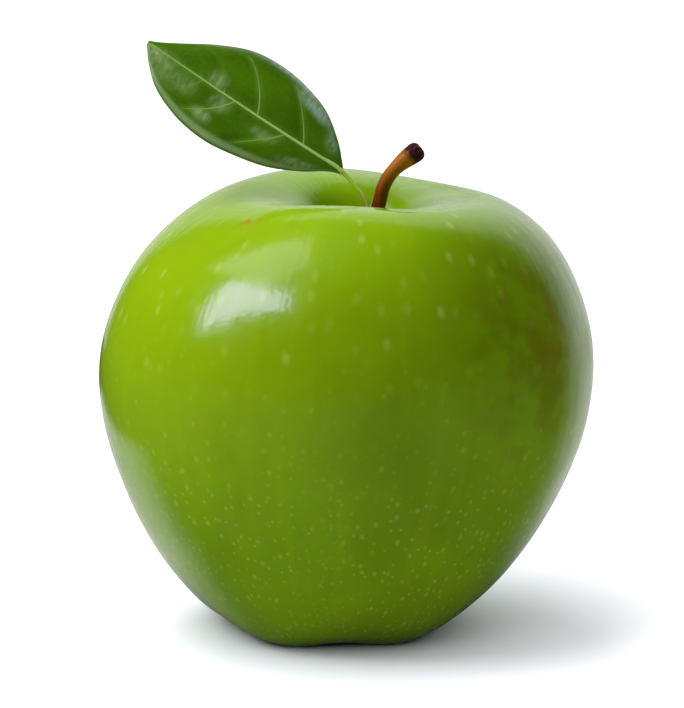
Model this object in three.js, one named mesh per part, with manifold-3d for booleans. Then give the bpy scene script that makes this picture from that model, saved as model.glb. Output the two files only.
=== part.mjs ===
import * as THREE from 'three';
import { NURBSCurve } from 'three/addons/curves/NURBSCurve.js';
import { mergeVertices } from 'three/addons/utils/BufferGeometryUtils.js';
import Module from 'manifold-3d';

const wasm = await Module();
wasm.setup();

const { clamp, seededRandom, smoothstep } = THREE.MathUtils;

// Lengths are millimetres and angles are radians. The fruit rests on z = 0 and +Z points up.
// The stem cavity is on top and the leaf rises to the left, seen from the front (-Y).

// Fruit: half sections as [radius, height], from the basin below round the side to the cavity floor.
const rightSection = [
  [0, 8], [2.5, 8], [7, 6.5], [10.8, 1.5], [13.3, -1.3], [22.4, 3.9], [29.9, 12.6], [37.3, 26.7],
  [40.3, 45.1], [32.4, 63.8], [21.9, 70], [18.3, 68.8], [12.6, 69.3], [7.2, 65.8], [3.2, 57.1], [0, 57.1],
];
const leftSection = [
  [0, 8], [2.5, 8], [7, 6.5], [10.8, 1.5], [13.9, -0.7], [21, 2], [29.5, 12.1], [36.9, 26.8],
  [40.8, 44.8], [33, 61.9], [21.4, 70], [15, 70.4], [7.7, 68.6], [4.9, 62.1], [2.3, 57.1], [0, 57.1],
];
const sectionDegree = 3;
const fruitSides = 64;
const fruitRows = 38;
const fruitDepth = 0.975;       // front-to-back size over width
const lean = 0.036;             // sideways shift for each millimetre of height
const leanHeight = 43;
const centreShift = 0.18;       // brings the leaning fruit over the origin

// Lobes: five soft ribs that end in the low points which the fruit rests on.
const lobeCount = 5;
const lobeAngle = 0.397;
const lobeSwell = 0.016;
const lobeDrop = 0.5;
const swellHeights = [4, 36];   // the swelling fades out between these heights
const swellRadii = [3, 14];     // and fades in between these radii
const dropHeights = [0, 14];
const dropRadii = [3, 12];

// Rim of the stem cavity: a saddle, a weak five-fold wave and a notch at the front right.
const saddleHeight = 0.93;
const saddleAngle = 2.03;
const waveHeight = -0.11;
const waveAngle = 1.03;
const notchDepth = 1.36;
const notchAngle = -0.9;
const notchWidth = 0.53;
const notchRadii = [16, 30];
const rimHeights = [55, 68];
const rimRadii = [4, 14];

// Stem: it leans right and widens to a torn end.
const stemPath = [
  [1.6, 0, 58.8], [3.3, 0, 62.8], [4.85, -0.1, 67.3], [5.6, -0.2, 70.3], [6.7, -0.3, 72.4], [8.4, -0.5, 74.2],
  [11, -0.8, 76.2],
];
const stemSides = 18;
const stemRows = 22;
const stemRadius = 1.06;
const stemEndRadius = 1.55;
const stemFlareLength = 5.5;
const stemFootShare = 0.8;      // radius at the foot over the radius above it
const stemEndDepth = 0.45;
const stemHollowRadii = [1.1, 0.55];
const stemEndRag = 0.42;
const stemSeed = 7;
const stemBumpAt = 0.78;        // share of the stem's length
const stemBumpAngle = 0.1;
const stemBumpHeight = 0.22;
const stemBumpSize = 0.9;

// Leaf: the blade's edges as [share of length, half width], on the upper and the lower side.
const upperEdge = [
  [0, 0.5], [0.03, 1.8], [0.08, 3.9], [0.2, 7.8], [0.33, 10], [0.45, 10.7], [0.6, 9.8], [0.75, 6.8],
  [0.88, 3.3], [0.96, 1.2], [1, 0.35],
];
const lowerEdge = [
  [0, 0.5], [0.05, 1.4], [0.15, 4.1], [0.3, 7], [0.5, 8.6], [0.62, 8.6], [0.75, 7.7], [0.87, 5.8],
  [0.95, 3], [1, 0.35],
];
const leafBase = new THREE.Vector3(-0.9, 0, 72.8);
const leafTip = new THREE.Vector3(-31.1, 3, 92.6);
const leafAcross = new THREE.Vector3(0.486, 0.609, 0.628);
const leafThickness = 0.64;
const leafRows = 24;
const leafColumns = 10;
const leafFold = 0.2;           // rise of each half from the midrib
const leafCurl = 0.016;         // fall of the margins, for each square millimetre
const leafBow = 1.6;            // how far the middle bows to the front
const leafWave = 0.35;
const leafWaveTurns = 9;        // how fast the margin's ripple runs along the blade
const leafWaveLag = 2;          // and how far the two margins are out of step

// Leaf stalk: from the foot of the stem to the blade.
const stalkPath = [
  [0.6, -1.4, 59.7], [2.4, -1.5, 63.4], [3.3, -1.5, 67.2], [2.8, -1, 68.9], [1.8, -0.6, 70.3],
  [0.7, -0.2, 71.6], [-0.9, 0, 72.8], [-2.6, -0.1, 73.9],
];
const stalkRadius = 0.42;
const stalkSides = 8;
const stalkRows = 16;

// Calyx: five dried sepals and a tuft of stamens that hang from a small cup in the basin.
const sepalCount = 5;
const sepalPath = [[1.5, 0, 7.2], [2.3, 0, 5.9], [3.6, 0, 4.5], [5.2, 0, 4], [6.4, 0, 4.4]];
const sepalHalfWidth = 1.7;
const sepalThickness = 0.62;
const sepalRows = 7;
const sepalColumns = 4;
const sepalTipHalfWidth = 0.3;
const sepalTwist = 2;           // sideways reach of the tips
const sepalCup = 0.35;
const sepalSeed = 21;
const cupProfile = [[0, 6.3], [1.4, 6.2], [2.3, 6.7], [2.4, 7.2], [1.6, 7.5], [0, 7.5]];
const cupSides = 16;
const stamenCount = 11;
const stamenRadius = 0.31;
const stamenLength = 2.4;
const stamenSpread = 0.95;
const stamenFlare = 1.5;
const stamenFootHeight = 6.6;
const stamenTurn = 2.4;         // angle from each stamen to the next
const stamenSeed = 40;
const stamenSides = 6;

function material(color, roughness) {
  return new THREE.MeshStandardMaterial({ color, roughness, metalness: 0 });
}

// A welded solid for joining and cutting, from any closed geometry.
function solidFrom(geometry) {
  const plain = geometry.clone();
  plain.deleteAttribute('normal');
  plain.deleteAttribute('uv');
  const welded = mergeVertices(plain, 1e-5);
  return new wasm.Manifold(new wasm.Mesh({
    numProp: 3,
    vertProperties: new Float32Array(welded.attributes.position.array),
    triVerts: new Uint32Array(welded.index.array),
  }));
}

function meshFrom(solid, name, look) {
  const mesh = solid.getMesh();
  const geometry = new THREE.BufferGeometry();
  geometry.setAttribute('position', new THREE.BufferAttribute(new Float32Array(mesh.vertProperties), 3));
  geometry.setIndex(new THREE.BufferAttribute(new Uint32Array(mesh.triVerts), 1));
  geometry.translate(centreShift, 0, 0);
  geometry.computeVertexNormals();
  const result = new THREE.Mesh(geometry, look);
  result.name = name;
  return result;
}

function joined(geometries) {
  return geometries.map(solidFrom).reduce((body, next) => body.add(next));
}

// Even steps along a section whose ends lie level on the axis.
function sectionPoints(controls) {
  const points = controls.map(([radius, height]) => new THREE.Vector3(radius, height, 0));
  const spans = points.length - sectionDegree;
  const knots = [];
  for (let i = 0; i <= points.length + sectionDegree; i++) {
    knots.push(clamp((i - sectionDegree) / spans, 0, 1));
  }
  return new NURBSCurve(sectionDegree, knots, points).getSpacedPoints(fruitRows);
}

function lobeShape(radius, height, angle) {
  const wave = Math.cos(lobeCount * (angle - lobeAngle));
  const low = (1 - smoothstep(height, ...swellHeights)) * smoothstep(radius, ...swellRadii);
  const foot = (1 - smoothstep(height, ...dropHeights)) * smoothstep(radius, ...dropRadii);
  return [radius * (1 + lobeSwell * low * wave), height - lobeDrop * foot * wave];
}

function rimLift(radius, height, angle) {
  const onRim = smoothstep(height, ...rimHeights) * smoothstep(radius, ...rimRadii);
  const saddle = saddleHeight * Math.cos(2 * (angle - saddleAngle));
  const wave = waveHeight * Math.cos(lobeCount * (angle - waveAngle));
  const turn = Math.atan2(Math.sin(angle - notchAngle), Math.cos(angle - notchAngle)) / notchWidth;
  const notch = notchDepth * Math.exp(-turn * turn) * (1 - smoothstep(radius, ...notchRadii));
  return onRim * (saddle + wave - notch);
}

function fruit() {
  const right = sectionPoints(rightSection);
  const left = sectionPoints(leftSection);
  const profile = right.map((point) => new THREE.Vector2(Math.max(point.x, 0), point.y));
  const geometry = new THREE.LatheGeometry(profile, fruitSides);
  const position = geometry.attributes.position;
  for (let i = 0; i < position.count; i++) {
    const row = i % profile.length;
    const side = Math.floor(i / profile.length) % fruitSides;
    const angle = (side / fruitSides) * 2 * Math.PI - Math.PI / 2;
    const leftShare = (1 - Math.cos(angle)) / 2;
    const point = right[row].clone().lerp(left[row], leftShare);
    let [radius, height] = lobeShape(Math.max(point.x, 0), point.y, angle);
    height += rimLift(radius, height, angle);
    const shift = lean * (height - leanHeight);
    position.setXYZ(i, shift + radius * Math.cos(angle), fruitDepth * radius * Math.sin(angle), height);
  }
  const floorSize = 100;
  const floor = new THREE.BoxGeometry(floorSize, floorSize, floorSize).translate(0, 0, -floorSize / 2);
  const body = solidFrom(geometry).subtract(solidFrom(floor));
  return meshFrom(body, 'fruit', material('#86ab17', 0.3));
}

function curveThrough(points) {
  return new THREE.CatmullRomCurve3(points.map((point) => new THREE.Vector3(...point)));
}

// A body turned from [radius, distance] rows, with its axis bent along the path.
function turnedAlong(profile, path, sides, reshape = (radius, distance) => [radius, distance]) {
  const rows = profile.map(([radius, distance]) => new THREE.Vector2(radius, distance));
  const geometry = new THREE.LatheGeometry(rows, sides);
  const position = geometry.attributes.position;
  const length = path.getLength();
  for (let i = 0; i < position.count; i++) {
    const row = rows[i % rows.length];
    const side = Math.floor(i / rows.length) % sides;
    const angle = (side / sides) * 2 * Math.PI;
    const [radius, distance] = reshape(row.x, row.y, angle, side);
    const share = clamp(distance / length, 0, 1);
    const ahead = path.getTangentAt(share);
    const normal = new THREE.Vector3(0, 1, 0).cross(ahead).normalize();
    const third = normal.clone().cross(ahead);
    const point = path.getPointAt(share);
    point.addScaledVector(ahead, distance - share * length);
    point.addScaledVector(normal, radius * Math.sin(angle));
    point.addScaledVector(third, radius * Math.cos(angle));
    position.setXYZ(i, point.x, point.y, point.z);
  }
  return geometry;
}

function stem() {
  const path = curveThrough(stemPath);
  const length = path.getLength();
  const profile = [[0, 0]];
  for (let row = 0; row <= stemRows; row++) {
    const distance = (row / stemRows) * length;
    const flare = smoothstep(distance, length - stemFlareLength, length);
    const radius = stemRadius + (stemEndRadius - stemRadius) * flare;
    profile.push([row === 0 ? radius * stemFootShare : radius, distance]);
  }
  profile.push([stemHollowRadii[0], length - stemEndDepth / 2]);
  profile.push([stemHollowRadii[1], length - stemEndDepth]);
  profile.push([0, length - stemEndDepth]);
  const reshape = (radius, distance, angle, side) => {
    const turn = Math.atan2(Math.sin(angle - stemBumpAngle), Math.cos(angle - stemBumpAngle));
    const away = Math.hypot(distance - stemBumpAt * length, turn * radius) / stemBumpSize;
    const bump = radius > 0 ? stemBumpHeight * Math.exp(-away * away) : 0;
    const torn = distance === length ? stemEndRag * (seededRandom(side + stemSeed) - 0.5) : 0;
    return [radius + bump, distance + torn];
  };
  const geometry = turnedAlong(profile, path, stemSides, reshape);
  return meshFrom(solidFrom(geometry), 'stem', material('#6d3c12', 0.55));
}

// Half width of a blade at a share of its length, eased between the listed points.
function edgeWidth(edge, share) {
  const last = edge.length - 1;
  let i = 0;
  while (i < last - 1 && share > edge[i + 1][0]) {
    i++;
  }
  const slope = (k) => {
    const before = edge[Math.max(k - 1, 0)];
    const after = edge[Math.min(k + 1, last)];
    return (after[1] - before[1]) / (after[0] - before[0]);
  };
  const [startAt, startWidth] = edge[i];
  const [endAt, endWidth] = edge[i + 1];
  const span = endAt - startAt;
  const t = clamp((share - startAt) / span, 0, 1);
  const t2 = t * t;
  const t3 = t2 * t;
  return (2 * t3 - 3 * t2 + 1) * startWidth + (t3 - 2 * t2 + t) * span * slope(i)
    + (3 * t2 - 2 * t3) * endWidth + (t3 - t2) * span * slope(i + 1);
}

// A closed sheet of even thickness on a surface with u from 0 to 1 and v from -1 to 1.
// Both faces are split into the same triangles.
function bladeBody(surfaceAt, rows, columns, thickness) {
  const step = 0.001;
  const positions = [];
  for (const face of [0.5, -0.5]) {
    for (let row = 0; row <= rows; row++) {
      for (let column = 0; column <= columns; column++) {
        const u = row / rows;
        const v = (2 * column) / columns - 1;
        const along = surfaceAt(u + step, v).sub(surfaceAt(u - step, v));
        const across = surfaceAt(u, v + step).sub(surfaceAt(u, v - step));
        const normal = along.cross(across).normalize();
        positions.push(...surfaceAt(u, v).addScaledVector(normal, face * thickness));
      }
    }
  }
  const backStart = (rows + 1) * (columns + 1);
  const at = (row, column) => row * (columns + 1) + column;
  const indices = [];
  for (let row = 0; row < rows; row++) {
    for (let column = 0; column < columns; column++) {
      const a = at(row, column);
      const b = at(row + 1, column);
      const c = at(row + 1, column + 1);
      const d = at(row, column + 1);
      indices.push(a, b, c, a, c, d);
      indices.push(a + backStart, c + backStart, b + backStart, a + backStart, d + backStart, c + backStart);
    }
  }
  const wall = (p, q) => indices.push(q, p, p + backStart, q, p + backStart, q + backStart);
  for (let row = 0; row < rows; row++) {
    wall(at(row, 0), at(row + 1, 0));
    wall(at(row + 1, columns), at(row, columns));
  }
  for (let column = 0; column < columns; column++) {
    wall(at(rows, column), at(rows, column + 1));
    wall(at(0, column + 1), at(0, column));
  }
  const geometry = new THREE.BufferGeometry();
  geometry.setAttribute('position', new THREE.Float32BufferAttribute(positions, 3));
  geometry.setIndex(indices);
  return geometry;
}

function leafSurface(u, v) {
  const chord = leafTip.clone().sub(leafBase);
  const ahead = chord.clone().normalize();
  const across = leafAcross.clone().addScaledVector(ahead, -leafAcross.dot(ahead)).normalize();
  const front = across.clone().cross(ahead);
  const halfWidth = edgeWidth(v > 0 ? upperEdge : lowerEdge, u);
  const distance = Math.abs(v) * halfWidth;
  const middle = Math.sin(Math.PI * clamp(u, 0, 1));
  const ripple = leafWave * v * v * middle * Math.sin(leafWaveTurns * u + leafWaveLag * v);
  const rise = leafFold * distance - leafCurl * distance * distance + ripple;
  const point = leafBase.clone().addScaledVector(chord, u);
  point.addScaledVector(across, v * halfWidth);
  point.addScaledVector(front, rise);
  point.y -= leafBow * Math.sin(Math.PI * u);
  return point;
}

function leaf() {
  const blade = bladeBody(leafSurface, leafRows, leafColumns, leafThickness);
  const path = curveThrough(stalkPath);
  const length = path.getLength();
  const profile = [[0, 0]];
  for (let row = 0; row <= stalkRows; row++) {
    profile.push([stalkRadius, (row / stalkRows) * length]);
  }
  profile.push([0, length]);
  const stalk = turnedAlong(profile, path, stalkSides);
  return meshFrom(joined([blade, stalk]), 'leaf', material('#4d7a14', 0.4));
}

function sepal(index) {
  const path = curveThrough(sepalPath);
  const length = path.getLength();
  const twist = sepalTwist * (seededRandom(index + sepalSeed) - 0.5);
  const surfaceAt = (u, v) => {
    const share = clamp(u, 0, 1);
    const halfWidth = sepalHalfWidth * (1 - share * share) + sepalTipHalfWidth * share;
    const point = path.getPointAt(share).addScaledVector(path.getTangentAt(share), (u - share) * length);
    point.y += v * halfWidth + twist * share * share;
    point.z -= sepalCup * v * v * halfWidth;
    return point;
  };
  const angle = (index / sepalCount) * 2 * Math.PI;
  return bladeBody(surfaceAt, sepalRows, sepalColumns, sepalThickness).rotateZ(angle);
}

function stamen(index) {
  const turn = index * stamenTurn;
  const reach = stamenSpread * Math.sqrt((index + 0.5) / stamenCount);
  const drop = THREE.MathUtils.lerp(0.8, 1.2, seededRandom(index + stamenSeed)) * stamenLength;
  const foot = new THREE.Vector3(reach * Math.cos(turn), reach * Math.sin(turn), stamenFootHeight);
  const end = new THREE.Vector3(foot.x * stamenFlare, foot.y * stamenFlare, foot.z - drop);
  const path = new THREE.LineCurve3(foot, end);
  const length = path.getLength();
  return turnedAlong([[0, 0], [stamenRadius, 0], [stamenRadius, length], [0, length]], path, stamenSides);
}

function calyx() {
  const cup = new THREE.LatheGeometry(cupProfile.map((row) => new THREE.Vector2(...row)), cupSides);
  cup.rotateX(Math.PI / 2);
  const pieces = [cup];
  for (let index = 0; index < sepalCount; index++) {
    pieces.push(sepal(index));
  }
  for (let index = 0; index < stamenCount; index++) {
    pieces.push(stamen(index));
  }
  for (const piece of pieces) {
    piece.translate(-lean * leanHeight, 0, 0);
  }
  return meshFrom(joined(pieces), 'calyx', material('#5b4325', 0.85));
}

const part = new THREE.Group();
part.name = 'green_apple';
part.add(fruit(), stem(), leaf(), calyx());

export default part;
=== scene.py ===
import math

import bpy
import numpy as np
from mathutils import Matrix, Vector


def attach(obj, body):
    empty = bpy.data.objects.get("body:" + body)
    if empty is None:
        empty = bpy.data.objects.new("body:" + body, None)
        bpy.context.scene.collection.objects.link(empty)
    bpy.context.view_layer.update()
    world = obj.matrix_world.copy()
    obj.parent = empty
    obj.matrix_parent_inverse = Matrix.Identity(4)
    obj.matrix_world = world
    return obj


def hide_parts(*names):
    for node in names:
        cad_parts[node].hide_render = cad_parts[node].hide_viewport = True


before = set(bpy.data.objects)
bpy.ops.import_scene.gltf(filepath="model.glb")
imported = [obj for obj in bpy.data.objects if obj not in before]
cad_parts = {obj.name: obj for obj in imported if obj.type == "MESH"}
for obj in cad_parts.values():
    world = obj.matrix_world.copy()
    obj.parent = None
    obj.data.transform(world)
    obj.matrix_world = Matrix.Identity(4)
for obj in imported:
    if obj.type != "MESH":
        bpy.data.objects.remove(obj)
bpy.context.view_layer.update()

mm = 0.001

# Lengths in the dictionaries are millimetres, in the frame's axes: +X right, +Y away, +Z up.


def addNode(tree, kind, inputs=None, **settings):
    node = tree.nodes.new(kind)
    for name, value in settings.items():
        setattr(node, name, value)
    for socket, value in (inputs or {}).items():
        if isinstance(value, bpy.types.Node):
            value = value.outputs[0]
        if isinstance(value, bpy.types.NodeSocket):
            tree.links.new(value, node.inputs[socket])
        else:
            node.inputs[socket].default_value = value
    return node


def linear(hexColour, alpha=1.0):
    # sRGB hex to the linear values that the shaders want
    channels = [int(hexColour[i:i + 2], 16) / 255 for i in (1, 3, 5)]
    return [c / 12.92 if c <= 0.04045 else ((c + 0.055) / 1.055) ** 2.4 for c in channels] + [alpha]


def fade(low, high, values):
    t = np.clip((values - low) / (high - low), 0, 1)
    return t * t * (3 - 2 * t)


def meshObject(name, points, faces, attributes=None):
    mesh = bpy.data.meshes.new(name)
    mesh.from_pydata([tuple(p) for p in points], [], faces)
    for key, values in (attributes or {}).items():
        values = np.asarray(values, dtype=float)
        kind = "FLOAT" if values.ndim == 1 else "FLOAT_VECTOR"
        field = "value" if values.ndim == 1 else "vector"
        mesh.attributes.new(key, kind, "POINT").data.foreach_set(field, values.ravel())
    mesh.shade_smooth()
    obj = bpy.data.objects.new(name, mesh)
    bpy.context.scene.collection.objects.link(obj)
    return obj


def startTree(name, sizes):
    # a Geometry Nodes tree with one named input for each size
    tree = bpy.data.node_groups.new(name, "GeometryNodeTree")
    tree.interface.new_socket("Geometry", in_out="INPUT", socket_type="NodeSocketGeometry")
    for key, value in sizes.items():
        kinds = {bpy.types.Object: "NodeSocketObject", int: "NodeSocketInt", float: "NodeSocketFloat"}
        kind = next(k for t, k in kinds.items() if isinstance(value, t))
        tree.interface.new_socket(key, in_out="INPUT", socket_type=kind)
    tree.interface.new_socket("Geometry", in_out="OUTPUT", socket_type="NodeSocketGeometry")
    return tree


def finishTree(tree, geometry, finish):
    real = addNode(tree, "GeometryNodeRealizeInstances", {"Geometry": geometry})
    painted = addNode(tree, "GeometryNodeSetMaterial", {"Geometry": real, "Material": finish})
    addNode(tree, "NodeGroupOutput", {"Geometry": painted})


def runTree(name, tree, sizes, host=None):
    # the tree's result as a plain mesh object at the origin
    host = host or meshObject(name + "Host", [], [])
    modifier = host.modifiers.new(tree.name, "NODES")
    modifier.node_group = tree
    for item in tree.interface.items_tree:
        if item.in_out == "INPUT" and item.name in sizes:
            modifier[item.identifier] = sizes[item.name]
    depsgraph = bpy.context.evaluated_depsgraph_get()
    mesh = bpy.data.meshes.new_from_object(host.evaluated_get(depsgraph))
    mesh.name = name
    mesh.shade_smooth()
    host.modifiers.remove(modifier)
    bpy.data.objects.remove(host)
    obj = bpy.data.objects.new(name, mesh)
    bpy.context.scene.collection.objects.link(obj)
    return obj


def finishPiece(obj, node):
    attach(obj, "root")
    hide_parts(node)


def smoothPath(points, count):
    # a curve through the points at even steps, as [count + 1] positions and directions
    points = np.array(points, dtype=float)
    points = np.vstack([2 * points[0] - points[1], points, 2 * points[-1] - points[-2]])
    fine = []
    for a, b, c, d in zip(points, points[1:], points[2:], points[3:]):
        ta, tb, tc = (np.linalg.norm(q - p) ** 0.5 for p, q in ((a, b), (b, c), (c, d)))
        m1 = ((b - a) / ta - (c - a) / (ta + tb) + (c - b) / tb) * tb
        m2 = ((c - b) / tb - (d - b) / (tb + tc) + (d - c) / tc) * tb
        t = np.linspace(0, 1, 40, endpoint=False)[:, None]
        fine.append(b + m1 * t + (3 * (c - b) - 2 * m1 - m2) * t ** 2 + (2 * (b - c) + m1 + m2) * t ** 3)
    fine = np.vstack(fine + [points[-2:-1]])
    steps = np.linalg.norm(np.diff(fine, axis=0), axis=1)
    reach = np.concatenate([[0], np.cumsum(steps)])
    wanted = np.linspace(0, reach[-1], count + 1)
    places = np.stack([np.interp(wanted, reach, fine[:, k]) for k in range(3)], axis=1)
    ahead = np.gradient(places, axis=0)
    return places, ahead / np.linalg.norm(ahead, axis=1)[:, None], reach[-1]


# Camera and light

camera = {
    "distance": 600.0,
    "elevation": 11.64,      # degrees above the horizon
    "target": (-0.66, 0.0, 43.7),
    "pixelsPerMm": 6.346,
    "imageWidth": 684,
}

panels = {
    # corners as (degrees round from +Y towards +X, degrees up), seen from the point "around" on the fruit;
    # "cast" is the light it throws, "mirrored" and "tint" how bright and which colour the gloss shows it
    "key": {
        "corners": [(-99, 24), (-87, 47), (-134, 52), (-140, 45)],
        "around": (-15.0, -30.0, 56.0),
        "distance": 900.0,
        "cast": 8.0,
        "mirrored": 13.4,
        "tint": "#d3c2ff",
    },
    "upper": {
        "corners": [(-64, 43), (-49, 68), (-125, 68), (-116, 48)],
        "around": (-8.0, -26.0, 64.0),
        "distance": 900.0,
        "cast": 2.0,
        "mirrored": 2.6,
        "tint": "#ffffff",
    },
    "backdrop": {
        "corners": [(-26, -8), (-23, 50), (61, 56), (61, -8)],
        "around": (0.0, -10.0, 60.0),
        "distance": 1300.0,
        "cast": 1.0,
        "mirrored": 1.04,
        "tint": "#ffffff",
        # share of the brightness from the left side to the right, so that its mirror image has a soft end
        "across": [(0.0, 0.4), (0.1, 0.62), (0.36, 0.64), (0.64, 1.0), (0.76, 0.92), (1.0, 0.0)],
    },
}

lamps = {
    # soft ellipses that light without being mirrored: (place, width, height, watts)
    "overhead": ((-260.0, 60.0, 900.0), 1300.0, 560.0, 7.7),
    "floorWash": ((-60.0, 0.0, 900.0), 4200.0, 4200.0, 48.0),
    "floorFront": ((-420.0, -620.0, 520.0), 700.0, 700.0, 1.6),
}

floorPaper = {
    "xRange": (-1000.0, 1000.0),
    "yRange": (-1000.0, 1000.0),
    "colour": "#edeff6",
    "bounce": "#b9b8ba",     # what the paper throws back on the fruit, less than the eye sees of it
}

floorCards = {
    # the lit stretches of floor that the skin mirrors: (corners, width of the soft edge, strength)
    "floorCardLeft": ([(-108, 8), (-34, -26), (2, -26), (2, 170), (-108, 170)], 20.0, 0.8),
    "floorCardRight": ([(4, -30), (52, -30), (900, 566), (900, 900), (4, 900)], 60.0, 0.8),
}
floorCardNear = (13.0, 46.0)     # radii between which the shadow at the fruit's foot ends
floorCardFar = (900.0, 300.0)    # and between which the cards fade with distance
floorCardHeight = 0.4

room = {
    # brightness where no panel is: seen behind the fruit, mirrored in it, and as soft fill
    "seen": 1.0,
    "mirrored": 0.02,
    "fill": 0.03,
}


def makeCamera():
    tilt = math.radians(camera["elevation"])
    lens = bpy.data.cameras.new("camera")
    lens.sensor_fit = "HORIZONTAL"
    lens.sensor_width = 36
    lens.lens = camera["pixelsPerMm"] * camera["distance"] / camera["imageWidth"] * lens.sensor_width
    lens.clip_start, lens.clip_end = 0.01, 20
    obj = bpy.data.objects.new("camera", lens)
    bpy.context.scene.collection.objects.link(obj)
    back = Vector((0, -math.cos(tilt), math.sin(tilt)))
    obj.location = (Vector(camera["target"]) + back * camera["distance"]) * mm
    obj.rotation_euler = (math.pi / 2 - tilt, 0, 0)
    bpy.context.scene.camera = obj


def glowing(name, strength, colour="#ffffff"):
    finish = bpy.data.materials.new(name)
    finish.use_nodes = True
    tree = finish.node_tree
    tree.nodes.clear()
    glow = addNode(tree, "ShaderNodeEmission", {"Color": linear(colour), "Strength": strength})
    addNode(tree, "ShaderNodeOutputMaterial", {"Surface": glow})
    return finish


def softEdges(tree, corners, softness):
    # lets a flat card fade out towards its sides, near the fruit and far from it
    glow = next(node for node in tree.nodes if node.type == "EMISSION")
    place = addNode(tree, "ShaderNodeTexCoord").outputs["Object"]
    radius = addNode(tree, "ShaderNodeVectorMath", {0: place}, operation="LENGTH")
    share = 1.0
    for (x0, y0), (x1, y1) in zip(corners, corners[1:] + corners[:1]):
        length = math.hypot(x1 - x0, y1 - y0)
        inward = Vector(((y0 - y1) / length, (x1 - x0) / length, 0))
        start = inward.dot(Vector((x0, y0, 0)))
        reach = addNode(tree, "ShaderNodeVectorMath", {0: place, 1: inward}, operation="DOT_PRODUCT")
        side = addNode(tree, "ShaderNodeMapRange", {
            "Value": reach.outputs["Value"], "From Min": start * mm, "From Max": (start + softness) * mm,
        }, interpolation_type="SMOOTHSTEP")
        share = addNode(tree, "ShaderNodeMath", {0: share, 1: side}, operation="MULTIPLY")
    for start, end in (floorCardNear, floorCardFar):
        round_ = addNode(tree, "ShaderNodeMapRange", {
            "Value": radius.outputs["Value"], "From Min": start * mm, "From Max": end * mm,
        }, interpolation_type="SMOOTHSTEP")
        share = addNode(tree, "ShaderNodeMath", {0: share, 1: round_}, operation="MULTIPLY")
    clear = addNode(tree, "ShaderNodeBsdfTransparent")
    soft = addNode(tree, "ShaderNodeMixShader", {0: share, 1: clear, 2: glow})
    output = next(node for node in tree.nodes if node.type == "OUTPUT_MATERIAL")
    tree.links.new(soft.outputs[0], output.inputs["Surface"])


def shareAcross(tree, profile):
    # lets the glow of a panel change from its left side to its right
    glow = next(node for node in tree.nodes if node.type == "EMISSION")
    across = addNode(tree, "ShaderNodeAttribute", attribute_name="across").outputs["Fac"]
    share = addNode(tree, "ShaderNodeValToRGB", {"Fac": across})
    ramp = share.color_ramp
    ramp.interpolation = "EASE"
    for place, _ in profile[1:-1]:
        ramp.elements.new(place)
    for element, (place, value) in zip(ramp.elements, profile):
        element.position = place
        element.color = (value, value, value, 1)
    scaled = addNode(tree, "ShaderNodeMath", {0: share, 1: glow.inputs["Strength"].default_value},
                     operation="MULTIPLY")
    tree.links.new(scaled.outputs[0], glow.inputs["Strength"])


def makePanels():
    # soft lights whose corners lie in the directions that the skin reflects
    for name, panel in panels.items():
        origin = Vector(panel["around"])
        corners = []
        for round_, up in panel["corners"]:
            a, e = math.radians(round_), math.radians(up)
            way = Vector((math.sin(a) * math.cos(e), math.cos(a) * math.cos(e), math.sin(e)))
            corners.append((origin + way * panel["distance"]) * mm)
        for use in ("cast", "mirrored"):
            obj = meshObject(name + use.capitalize(), corners, [(0, 1, 2, 3)], {"across": [0, 0, 1, 1]})
            tint = panel["tint"] if use == "mirrored" else "#ffffff"
            obj.data.materials.append(glowing(obj.name, panel[use], tint))
            if use == "mirrored" and "across" in panel:
                shareAcross(obj.data.materials[0].node_tree, panel["across"])
            obj.visible_camera = obj.visible_shadow = False
            obj.visible_diffuse = use == "cast"
            obj.visible_glossy = use == "mirrored"


def makeLamps(floor):
    for name, (place, width, height, power) in lamps.items():
        lamp = bpy.data.lights.new(name, "AREA")
        lamp.shape = "ELLIPSE"
        lamp.size = width * mm
        lamp.size_y = height * mm
        lamp.energy = power
        obj = bpy.data.objects.new(name, lamp)
        bpy.context.scene.collection.objects.link(obj)
        obj.location = Vector(place) * mm
        obj.rotation_euler = (-obj.location).to_track_quat("-Z", "Y").to_euler()
        obj.visible_glossy = False
        if name.startswith("floor"):
            # these keep the paper white and leave the fruit alone
            lit = bpy.data.collections.new(name + "Only")
            lit.objects.link(floor)
            obj.light_linking.receiver_collection = lit


def paperWhite():
    # matt background paper: a nearly even white with a faint tooth
    finish = bpy.data.materials.new("backgroundPaper")
    finish.use_nodes = True
    tree = finish.node_tree
    tree.nodes.clear()
    place = addNode(tree, "ShaderNodeTexCoord").outputs["Object"]
    tooth = addNode(tree, "ShaderNodeTexNoise", {"Vector": place, "Scale": 900.0, "Detail": 3.0})
    relief = addNode(tree, "ShaderNodeBump", {"Height": tooth.outputs["Fac"], "Strength": 0.05, "Distance": 0.0001})
    bounced = addNode(tree, "ShaderNodeMix", {
        "Factor": addNode(tree, "ShaderNodeLightPath").outputs["Is Diffuse Ray"],
        6: linear(floorPaper["colour"]), 7: linear(floorPaper["bounce"]),
    }, data_type="RGBA")
    paper = addNode(tree, "ShaderNodeBsdfPrincipled", {
        "Base Color": bounced.outputs[2], "Roughness": 0.9, "Specular IOR Level": 0.0, "Normal": relief,
    })
    addNode(tree, "ShaderNodeOutputMaterial", {"Surface": paper})
    return finish


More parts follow.
